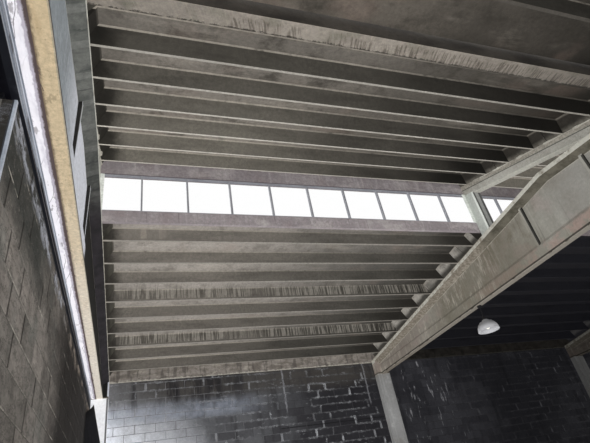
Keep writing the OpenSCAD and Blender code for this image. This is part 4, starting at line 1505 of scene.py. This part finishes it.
@dataclass
class Walls(BlockWall):
    """All block walls of the hall."""

    first_block: float = 0.34
    gable_block: float = -2.6735

    def make(self) -> None:
        """Builds all walls."""
        self.long_walls()
        self.gables()

    def long_walls(self) -> None:
        """Builds the far and near walls, light in the first bay and in painted shade beyond, and the right
        gable.
        """
        mortar = WallMortar("mortar", (108, 108, 111), (66, 66, 68), (150, 150, 154), (50, 49, 50),
                            stains=0.8, drips=0.3).dress()
        # The dark mortar and the dark tones beyond the first bay are painted shade.
        dark_mortar = WallMortar("dark_mortar", (64, 63, 66), (50, 49, 52), (98, 97, 98), (40, 39, 40),
                                 drips=0.1).dress()
        light = {"tones": ((66, 66, 69), (88, 89, 92), (46, 46, 50)), "mortar": (164, 166, 170),
                 "smear": 0.8, "daubs": 0.5, "spread": 0.03}
        dark = {"tones": ((46, 46, 50), (56, 56, 60), (36, 36, 40)), "mortar": (88, 88, 92),
                "smear": 0.35, "daubs": 0.2, "spread": 0.03}
        for number, x in enumerate(GRID[:3], start=1):
            first = number == 1
            look, joints = (light, mortar) if first else (dark, dark_mortar)
            for side, kind in (("far", FarWallFace if first else DarkWallFace), ("near", BlockFace)):
                node = f"{side}_wall_bay_{number}"
                face = kind(f"{node}_face", Facing.RIGHT, Bond(), x + self.first_block, **look)
                self.build(node, face, joints)
        self.build("right_wall", BlockFace("right_wall_face", Facing.FAR, Bond(), 0.0), mortar, gable=True)

    def gables(self) -> None:
        """Builds the left gable of larger blocks, on both sides of the doorway and above the girder."""
        large, warm = Bond(0.605, 0.296, 0.0, 0.005), ((101, 97, 92), (124, 118, 112), (74, 70, 66))
        mortar = WallMortar("gable_mortar", (76, 73, 69), (58, 55, 52), (96, 92, 87), (50, 47, 44),
                            drips=0.1).dress()
        low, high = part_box("left_wall")
        face = GableFace("left_wall_face", Facing.FAR, large, self.gable_block, warm, (126, 122, 116),
                         smear=0.12, pick=0.9, soot=0.0, broken=0.9)
        self.build("left_wall", face, mortar, parts=[(low, Vector((high.x, DOOR_NEAR, high.z))),
                                                     (Vector((low.x, DOOR_FAR, low.z)), high)])
        face = BlockFace("left_gable_face", Facing.FAR, large, self.gable_block, warm, (158, 154, 146), 0.6)
        self.build("left_gable_top", face, mortar, gable=True)


@dataclass
class Structure(Assembly):
    """Columns, girders, raised frames and eave beams."""

    bite: float = 0.004
    slope_ends: Tuple[Tuple[int, float, float], ...] = ((-1, 2.3, 8.0), (1, 2.0, 8.0))
    beam_ends: Tuple[float, float] = (-2.2, 1.9)
    slope_crumb: float = 0.012
    beam_crumb: float = 0.019
    gable_crumb: float = 0.036
    slope_sink: float = 0.006
    beam_sink: float = 0.008

    def crumbs(self) -> None:
        """Lays lumpy mortar along the edges of the girders' flanges and of the raised beams."""
        slopes, beams = bmesh.new(), bmesh.new()
        for number, x, side in inner_sides():
            edge, out = x + side * (FLANGE_HALF - self.bite), Vector((side, 0, 0))
            for way, first, last in self.slope_ends:
                ends = [Vector((edge, way * y, RIDGE - y * FALL - self.slope_sink))
                        for y in (first, last)]
                crumb_strip(slopes, *ends, out, self.slope_crumb, number * 7.0 + side + way * 2.0)
            edge = x + side * (FRAME_HALF - self.bite)
            ends = [Vector((edge, y, SHED_REF + (y - WINDOW_IN) * SHED_FALL - self.beam_sink))
                    for y in self.beam_ends]
            crumb_strip(beams, *ends, out, self.beam_crumb if number else self.gable_crumb,
                        number * 3.0 + side, RIB_PITCH)
        paste = CastConcrete("bedding_mortar", (152, 146, 135), (124, 118, 108), (178, 172, 161),
                             (100, 92, 82), far_bay_shade=0.8).dress()
        pale = CastConcrete("beam_mortar", (174, 171, 161), (150, 146, 136), (190, 187, 178),
                            (120, 114, 104), far_bay_shade=0.5).dress()
        self.place("girder_bedding", slopes, (paste,), "roof_concrete")
        self.place("beam_bedding", beams, (pale,), "frame_concrete")

    def make(self) -> None:
        """Dresses the carrying parts."""
        column = ColumnConcrete("column_concrete", (148, 148, 148), (130, 130, 129), (170, 170, 169),
                                (120, 115, 109), stains=0.4, drips=0.35, boards=0.4, far_bay_shade=0.7,
                                grit=0.3).dress()
        self.keep(column, "columns")
        grey = GirderConcrete("girder_concrete", (144, 142, 133), (124, 120, 110), (166, 163, 153),
                              (114, 105, 92), stains=0.45, drips=0.45, far_bay_shade=0.8, grit=0.35).dress()
        self.keep(grey, "girder_2", "girder_3", "girder_4")
        cream = FirstGirder("girder_1_concrete", (140, 146, 150), (122, 128, 132), (168, 173, 178),
                            (116, 120, 120), stains=0.35, drips=0.3, sole=(212, 190, 152),
                            sole_far=(220, 212, 198), flange=(96, 97, 93), flange_shade=(76, 78, 75),
                            flange_edge=(190, 190, 182)).dress()
        self.keep(cream, "girder_1")
        pale = FrameConcrete("raised_frame_concrete", (166, 164, 156), (148, 146, 138), (186, 184, 176),
                             (132, 126, 116), stains=0.3, drips=0.2, far_bay_shade=0.6).dress()
        self.keep(pale, *(f"raised_frame_{i}" for i in range(1, 5)))
        eave = EaveConcrete("eave_concrete", (150, 147, 141), (126, 122, 116), (182, 178, 170),
                            (104, 96, 88), stains=0.5, drips=0.7, far_bay_shade=0.93).dress()
        self.keep(eave, "eave_beams", "raised_cheeks")
        # Near-black tones on the left lintel, as painted shade.
        lintel = CastConcrete("lintel_concrete", (14, 14, 20), (9, 9, 14), (26, 26, 32),
                              (12, 11, 13)).dress()
        self.keep(lintel, "left_lintel")
        sill = BandConcrete("sill_concrete", (140, 133, 134), (126, 119, 121), (162, 157, 157),
                            (118, 106, 106), stains=0.4, drips=0.4, far_bay_shade=0.3).dress()
        self.keep(sill, "window_sills", "window_heads")
        self.crumbs()


@dataclass
class Roof(Assembly):
    """Ribbed roof units and the mortar in the joints between them."""

    joint: float = 0.01
    inset: float = 0.25
    first_joint: float = 2.547
    joints: int = 5
    raised_joints: Tuple[float, ...] = (1.1827, 2.4927)

    def strip(self, shape: bmesh.types.BMesh, bay: int, y: float, z: float, angle: float) -> None:
        """Adds a mortar strip along a bay, in the joint between two units.

        Args:
            shape: The bmesh to add to.
            bay: Number of the bay, from 0.
            y: The joint's place across the hall, on the plane of the rib soles.
            z: Its height on that plane.
            angle: Slope of the units.
        """
        half = self.joint * 0.48
        new = brick(shape, (GRID[bay] + self.inset, -half, RIB_DEPTH + 0.008),
                    (GRID[bay + 1] - self.inset, half, RIB_DEPTH + 0.045))
        turn = Matrix.Translation((0, y, z)) @ Matrix.Rotation(angle, 4, "X")
        bmesh.ops.transform(shape, matrix=turn, verts=new)

    def make(self) -> None:
        """Dresses the roof units, the bays beyond the second girder in painted shade, and fills their
        joints.
        """
        # Tones of the bays beyond the second girder, dark as painted shade.
        painted_shade = {"soffit_left": (40, 39, 42), "soffit_right": (32, 32, 36), "blotch": (30, 30, 34),
                "web_left": (33, 33, 37), "web_right": (28, 28, 32), "web_end": (20, 20, 24),
                "sole": (38, 38, 42), "hip_left": (28, 28, 32), "hip_right": (52, 51, 51),
                "hip_foot": (22, 22, 25), "warmth": 0.0, "streaks": 0.0, "fillet": 0.0}
        self.keep(FarRoof("far_roof_concrete").dress(), "far_roof_bay_1")
        near = RibbedRoof("near_roof_concrete", rise=FALL, soffit_left=(102, 96, 88),
                          soffit_right=(20, 19, 17), blotch=(50, 47, 42), blotches=0.7, streaks=0.4,
                          web_left=(60, 57, 52), web_right=(36, 35, 32), web_end=(24, 23, 21),
                          sole=(82, 78, 72)).dress()
        self.keep(near, "near_roof_bay_1")
        self.keep(RibbedRoof("far_roof_painted_shade", **painted_shade).dress(), "far_roof_bay_2", "far_roof_bay_3")
        near_painted_shade = RibbedRoof("near_roof_painted_shade", rise=FALL, **painted_shade).dress()
        self.keep(near_painted_shade, "near_roof_bay_2", "near_roof_bay_3")
        shed = {"peak": SHED_REF, "peak_y": WINDOW_IN, "rise": SHED_FALL}
        raised = RaisedRoof("raised_roof_concrete", **shed, soffit_left=(134, 128, 120),
                            soffit_right=(72, 68, 62), blotch=(66, 62, 56), blotches=0.8,
                            web_left=(106, 102, 94), web_right=(34, 32, 29), web_end=(20, 19, 17),
                            hip_left=(36, 34, 31), hip_right=(46, 43, 39), sole=(188, 183, 173),
                            sink=(0.8, 4.0, 0.35)).dress()
        self.keep(raised, *(f"raised_roof_bay_{i}" for i in (1, 2, 3)))
        edge = EdgeBeam("edge_beam_concrete", **shed, soffit_left=(136, 129, 121),
                        soffit_right=(66, 62, 56), web_left=(94, 90, 83), web_right=(40, 38, 35),
                        web_end=(24, 23, 21), streaks=0.2).dress()
        self.keep(edge, "roof_edge_beams")
        self.fill_joints()

    def fill_joints(self) -> None:
        """Fills the joints between the units of both slopes and of the raised roof."""
        mortar = CastConcrete("joint_mortar", (96, 93, 88), (78, 76, 72), (120, 117, 110),
                              far_bay_shade=0.6).dress()
        slope, steep = math.atan(FALL), math.atan(SHED_FALL)
        shape = bmesh.new()
        for bay in range(len(GRID) - 1):
            for k in range(self.joints):
                down = self.first_joint + 2 * RIB_PITCH * k
                y, z = down * math.cos(slope), RIDGE - down * math.sin(slope)
                self.strip(shape, bay, y, z, -slope)
                if k:
                    self.strip(shape, bay, -y, z, slope)
            for down in self.raised_joints:
                y, z = WINDOW_IN - down * math.cos(steep), SHED_REF - down * math.sin(steep)
                self.strip(shape, bay, y, z, steep)
        self.place("roof_joint_mortar", shape, (mortar,), "roof_concrete")


@dataclass
class WindowBand(Assembly):
    """The band of panes under the raised roof."""

    reveal: float = 0.07
    proud: float = 0.018
    lap: float = 0.008

    def reveals(self) -> None:
        """Adds a pale strip on the window beside each post."""
        shape = bmesh.new()
        for _, x, side in inner_sides():
            inner, outer = sorted(x + side * (FRAME_HALF + off) for off in (0.002, self.reveal))
            brick(shape, (inner, WINDOW_IN - self.proud, GLASS_LOW - self.lap),
                  (outer, WINDOW_IN + 0.001, GLASS_HIGH + self.lap))
        soften(shape, 0.004, 2)
        pale = CastConcrete("reveal_plaster", (222, 226, 220), (208, 212, 206), (236, 238, 232),
                            (196, 194, 186), stains=0.2, drips=0.1).dress()
        self.place("window_reveals", shape, (pale,), "frame_concrete")

    def make(self) -> None:
        """Dresses frames and panes."""
        metal = Metal("window_metal", (150, 151, 157), (136, 137, 143), 0.15, 0.5).dress()
        self.keep(metal, "window_frames")
        self.keep(Pane("window_pane").dress(), "window_glass")
        self.reveals()


@dataclass
class LeftGable(Assembly):
    """Packing, rails, jambs, corner sheet and the foam between the left wall and the first girder."""

    foam_steps: Tuple[int, int] = (700, 8)
    foam_thick: float = 0.01
    shreds: int = 26
    shred_x: float = -12.082
    shred_z: float = 4.958
    sheet_start: Tuple[float, float] = (-12.187, 6.55)
    sheet_end: float = 7.815
    sheet_folds: int = 12
    fold_depth: float = 0.009

    def foam(self, white: bpy.types.Material) -> None:
        """Builds the ragged foam strip in place of its solid.

        Args:
            white: Its finish.
        """
        low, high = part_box("left_gap_boards")
        wide, top = high.x - low.x, high.z - 0.014
        shape = bmesh.new()
        along, across = self.foam_steps
        bmesh.ops.create_grid(shape, x_segments=along, y_segments=across, size=0.5)
        lean = math.atan2(high.z - low.z - 0.014, wide)
        for corner in shape.verts:
            share, y = corner.co.y + 0.5, low.y + (corner.co.x + 0.5) * (high.y - low.y)
            lump = noise.noise(Vector((share * 1.5, y * 4.0, 0.3))) * 0.012
            lump += noise.noise(Vector((share * 5.0, y * 17.0, 3.0))) * 0.006
            fray = noise.noise(Vector((1.0, y * 9.0, 7.0))) * 0.03 * max(0.0, share - 0.6)
            x = low.x + 0.001 + (share * (wide - 0.004)) * (1.0 - abs(fray))
            z = high.z - 0.02 - share * wide * math.tan(lean) + min(lump, 0.012)
            corner.co = (x, y, min(max(z, low.z + 0.002), top))
        bmesh.ops.solidify(shape, geom=shape.faces[:], thickness=self.foam_thick)
        self.place("gap_foam", shape, (white,), "white_board", ("left_gap_boards",))

    def fray(self, white: bpy.types.Material) -> None:
        """Adds thin torn shreds along the foam's edge, over the rim of the girder's sole.

        Args:
            white: Their finish.
        """
        luck = random.Random(41)
        shape = bmesh.new()
        for _ in range(self.shreds):
            y = luck.choice((luck.uniform(-2.2, -1.9), luck.uniform(-1.2, 1.6), luck.uniform(1.6, 7.4)))
            length, bow = luck.uniform(0.03, 0.06) * (2.0 + y * 0.25), luck.uniform(0.004, 0.02)
            lean, wide = luck.uniform(-0.02, 0.02), luck.uniform(0.0012, 0.0024) * (1.6 + y * 0.15)
            made = bmesh.ops.create_grid(shape, x_segments=9, y_segments=1, size=0.5)
            for corner in made["verts"]:
                along, across = corner.co.x + 0.5, corner.co.y * 2.0
                arc = math.sin(along * math.pi)
                corner.co = (self.shred_x + lean * along + bow * arc + across * wide,
                             y + length * along + across * wide * 0.5, self.shred_z - 0.016 * arc)
        bmesh.ops.solidify(shape, geom=shape.faces[:], thickness=0.003)
        self.place("foam_shreds", shape, (white,), "white_board")

    def sheet(self, black: bpy.types.Material) -> None:
        """Adds the black ribbed sheet in the corner beside the far left column, which also stands in for
        the deep shade in that corner.

        Args:
            black: Its finish.
        """
        shape = bmesh.new()
        bmesh.ops.create_grid(shape, x_segments=8 * self.sheet_folds, y_segments=24, size=0.5)
        for corner in shape.verts:
            along, up = corner.co.x + 0.5, corner.co.y + 0.5
            z = 0.02 + up * (4.34 + 0.46 * along)
            start = Vector((*self.sheet_start, z))
            end = Vector((min(-12.13 + (4.84 - z) * 0.227, -11.84), self.sheet_end, z))
            out = Vector((end.y - start.y, start.x - end.x, 0)).normalized()
            wave = math.sin(along * math.tau * self.sheet_folds)
            corner.co = start + (end - start) * along + out * wave * self.fold_depth
        bmesh.ops.solidify(shape, geom=shape.faces[:], thickness=0.004)
        self.place("corner_shade_sheet", shape, (black,), "packing", smooth=True)

    def make(self) -> None:
        """Builds foam and corner sheet and dresses packing, rails and jambs."""
        white, black = Foam("white_foam").dress(), Bitumen("black_packing").dress()
        self.foam(white)
        self.fray(white)
        self.sheet(black)
        self.keep(black, "left_wall_packing")
        rails = RailMetal("rail_zinc", (158, 164, 174), (128, 133, 143), 0.15, 0.5).dress()
        self.keep(rails, "left_rails")
        zinc = Metal("zinc_steel", (150, 157, 163), (122, 129, 135), 0.45, 0.5).dress()
        self.keep(zinc, "door_track")
        pale = JambMetal("pale_zinc", (186, 194, 206), (150, 158, 170), 0.1, 0.45).dress()
        self.keep(pale, "door_jamb_angles")


@dataclass
class SlidingDoor(Assembly):
    """The leaf that slides along the gable, with its folds, its pull and its running gear."""

    body: str = "door"
    pitch: float = 0.25
    fold_half: float = 0.03
    fold_gap: float = 0.06
    proud: float = 0.012
    bite: float = 0.004
    pull_span: Tuple[float, float] = (0.95, 1.35)
    pull_feet: Tuple[float, float] = (0.98, 1.29)

    def folds(self, low: Vector, high: Vector, navy: bpy.types.Material) -> None:
        """Adds upright folds on both sides of the leaf.

        Args:
            low: Lowest corner of the leaf.
            high: Highest corner.
            navy: Its finish.
        """
        shape = bmesh.new()
        for k in range(int((high.y - low.y) / self.pitch)):
            y = low.y + self.pitch * (k + 0.5)
            for x, out in ((high.x, 1), (low.x, -1)):
                inner, outer = sorted((x - out * self.bite, x + out * self.proud))
                brick(shape, (inner, y - self.fold_half, low.z + self.fold_gap),
                      (outer, y + self.fold_half, high.z - self.fold_gap))
        soften(shape, 0.007, 2)
        self.place("door_folds", shape, (navy,), "door_paint")

    def pull(self, low: Vector) -> None:
        """Adds an upright pull with two feet on the leaf's outer side.

        Args:
            low: Lowest corner of the leaf.
        """
        shape = bmesh.new()
        y = low.y + self.pitch * 2
        bottom, top = self.pull_span
        brick(shape, (low.x - 0.045, y - 0.012, bottom), (low.x - 0.025, y + 0.012, top))
        for z in self.pull_feet:
            brick(shape, (low.x - 0.03, y - 0.01, z), (low.x + 0.002, y + 0.01, z + 0.03))
        soften(shape, 0.004, 2)
        steel = Metal("pull_steel", (96, 98, 102), (70, 72, 76), 0.8, 0.35).dress()
        self.place("door_pull", shape, (steel,), "zinc_steel")

    def make(self) -> None:
        """Builds folds and pull and dresses leaf and trolleys."""
        navy = Metal("door_paint", (7, 8, 20), (11, 12, 26), 0.0, 0.6, 0.1).dress()
        self.keep(navy, "door_leaf")
        steel = Metal("trolley_steel", (120, 124, 128), (92, 96, 100), 0.7, 0.4).dress()
        self.keep(steel, "door_trolleys")
        low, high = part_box("door_leaf")
        self.folds(low, high, navy)
        self.pull(low)


@dataclass
class Lamp(Assembly):
    """The dome lamp under the second girder, with its rolled rim, neck and ceiling cup."""

    x: float = -4.0
    y: float = 2.95
    rim_z: float = 4.38
    radius: float = 0.225
    rise: float = 0.24
    beads: Tuple[Tuple[float, float, float, int], ...] = (
        (1.0, 0.0, 0.006, 72), (0.985, 0.04, 0.0022, 72), (0.62, 0.183, 0.003, 64))
    neck: Tuple[Tuple[float, float], ...] = (
        (0.011, 0.0), (0.05, 0.0), (0.056, 0.006), (0.05, 0.022), (0.03, 0.05), (0.02, 0.085),
        (0.011, 0.095))
    cup: Tuple[Tuple[float, float], ...] = (
        (0.011, 0.512), (0.022, 0.514), (0.04, 0.53), (0.052, 0.552), (0.054, 0.5695),
        (0.011, 0.5695))

    def ring(self, radius: float, height: float, thick: float) -> List[Tuple[float, float]]:
        """Returns the outline of a round bead at a radius and a height."""
        turns = [math.tau * k / 10 for k in range(10)]
        return [(radius + thick * math.cos(t), height + thick * math.sin(t)) for t in turns]

    def make(self) -> None:
        """Builds beads, neck and ceiling cup and dresses the lamp."""
        white = Enamel("lamp_enamel", (182, 182, 185), painted_shade=0.5).dress()
        dark = Enamel("lamp_rod_enamel", (24, 24, 26), 0.6).dress()
        self.keep(white, "lamp_dome")
        self.keep(dark, "lamp_rod")
        self.keep(Enamel("lamp_glass", (246, 244, 232), 0.15).dress(), "lamp_bulb")
        centre = (self.x, self.y, self.rim_z)
        rim = bmesh.new()
        for share, height, thick, steps in self.beads:
            turned(rim, self.ring(self.radius * share, height, thick), centre, steps)
        self.place("lamp_rim", rim, (white,), "lamp_enamel", smooth=True)
        holder = bmesh.new()
        turned(holder, [(radius, self.rise + up) for radius, up in self.neck], centre)
        turned(holder, self.cup, centre)
        self.place("lamp_neck", holder, (dark,), "dark_enamel", smooth=True)


@dataclass
class Studio:
    """Camera, lamps, world and the pale floor outside the object."""

    eye: Tone = (-11.30, -4.905, 1.6)
    right: Tone = (0.9443929, -0.2859829, -0.1623082)
    up: Tone = (-0.0291177, -0.5643763, 0.8249966)
    ahead: Tone = (0.3275378, 0.7743927, 0.5413208)
    focal_share: float = 461.36 / 590
    lamps: Tuple[Tuple[str, Tone, Tuple[float, float], float, Tone], ...] = (
        ("bay_lamp_far", (-8.1, 3.9, 2.4), (7.6, 7.4), 0.9, (0, 0, 1)),
        ("bay_lamp_near", (-8.1, -4.1, 2.4), (7.6, 7.4), 0.75, (0, 0, 1)),
        ("outside_lamp", (-26, -34, 30), (26, 26), 0.8, (26, 34, -27)))
    fills: Tuple[Tuple[str, float, Tone], ...] = (
        ("fill_upwards", 0.45, (0, 0, 1)), ("fill_to_right", 0.5, (1, 0, 0)),
        ("fill_to_left", 0.5, (-1, 0, 0)), ("fill_to_far", 0.55, (0, 1, 0)),
        ("fill_to_near", 0.3, (0, -1, 0)))

    def camera(self) -> None:
        """Puts the camera where the photograph was taken."""
        lens = bpy.data.cameras.new("photo_camera")
        lens.sensor_fit = "HORIZONTAL"
        lens.sensor_width = 36.0
        lens.lens = 36.0 * self.focal_share
        lens.clip_start = 0.05
        lens.clip_end = 400.0
        eye = bpy.data.objects.new("photo_camera", lens)
        turn = Matrix((self.right, self.up, [-part for part in self.ahead])).transposed()
        eye.matrix_world = Matrix.Translation(self.eye) @ turn.to_4x4()
        bpy.context.scene.collection.objects.link(eye)
        bpy.context.scene.camera = eye

    def hang(self, light: bpy.types.Light, at: Tone, aim: Tone) -> None:
        """Puts a light in the scene, where neither camera nor reflections see it.

        Args:
            light: The light.
            at: Its middle.
            aim: Direction that it shines in.
        """
        held = bpy.data.objects.new(light.name, light)
        turn = Vector(aim).to_track_quat("-Z", "Y").to_matrix().to_4x4()
        held.matrix_world = Matrix.Translation(at) @ turn
        held.visible_camera = False
        held.visible_glossy = False
        bpy.context.scene.collection.objects.link(held)

    def lamp(self, name: str, at: Tone, size: Tuple[float, float], level: float, aim: Tone) -> None:
        """Adds a soft rectangular lamp.

        Args:
            name: The lamp's name.
            at: Its middle.
            size: Its two sides.
            level: Its brightness, where 1 shows a colour as written right in front of it.
            aim: Direction that it shines in.
        """
        light = bpy.data.lights.new(name, "AREA")
        light.shape = "RECTANGLE"
        light.size, light.size_y = size
        light.energy = math.pi * size[0] * size[1] * level
        self.hang(light, at, aim)

    def fill(self, name: str, level: float, aim: Tone) -> None:
        """Adds an even fill light that casts no shadow.

        Args:
            name: The light's name.
            level: Share of a colour that it shows on a surface square to it.
            aim: Direction that it shines in.
        """
        light = bpy.data.lights.new(name, "SUN")
        light.energy = math.pi * level
        light.angle = 0.5
        light.use_shadow = False
        self.hang(light, (0, 0, 12), aim)

    def world(self) -> None:
        """Gives a soft grey-white sky that shows as white."""
        world = bpy.data.worlds.new("soft_sky")
        world.use_nodes = True
        tree = world.node_tree
        tree.nodes.clear()
        out, path, mix, white, soft, pair, both = (
            tree.nodes.new(f"ShaderNode{kind}") for kind in
            ("OutputWorld", "LightPath", "MixShader", "Background", "Background", "Math", "Math"))
        white.inputs[0].default_value = (1, 1, 1, 1)
        soft.inputs[0].default_value = (0.92, 0.95, 1.0, 1)
        soft.inputs[1].default_value = 0.6
        pair.operation = both.operation = "MAXIMUM"
        for source, target in ((path.outputs["Is Camera Ray"], pair.inputs[0]),
                               (path.outputs["Is Glossy Ray"], pair.inputs[1]),
                               (pair.outputs[0], both.inputs[0]),
                               (path.outputs["Is Transmission Ray"], both.inputs[1]),
                               (both.outputs[0], mix.inputs[0]), (soft.outputs[0], mix.inputs[1]),
                               (white.outputs[0], mix.inputs[2]), (mix.outputs[0], out.inputs[0])):
            tree.links.new(source, target)
        bpy.context.scene.world = world

    def floor(self) -> None:
        """Lays the pale floor on which the hall stands."""
        shape = bmesh.new()
        bmesh.ops.create_grid(shape, x_segments=1, y_segments=1, size=90.0)
        bmesh.ops.translate(shape, verts=shape.verts, vec=(0, 0, -0.002))
        mesh = bpy.data.meshes.new("pale_floor")
        shape.to_mesh(mesh)
        shape.free()
        ground = bpy.data.objects.new("pale_floor", mesh)
        coat = Coat("floor_finish")
        clouds = coat.grain(0.3, 3.0)
        mesh.materials.append(coat.finish(coat.mix(clouds, (214, 213, 210), (222, 221, 218)), 0.8))
        bpy.context.scene.collection.objects.link(ground)

    def make(self) -> None:
        """Sets up the whole studio."""
        self.camera()
        self.world()
        self.floor()
        for plan in self.lamps:
            self.lamp(*plan)
        for plan in self.fills:
            self.fill(*plan)
        bpy.context.scene.view_settings.view_transform = "Standard"


def main() -> None:
    """Builds every assembly in order."""
    logging.basicConfig(level=logging.INFO, format="%(name)s: %(message)s")
    for kind in (Structure, Roof, WindowBand, Walls, LeftGable, SlidingDoor, Lamp, Studio):
        kind().make()
        LOG.info("%s is done", kind.__name__)


if __name__ == "__main__":
    main()
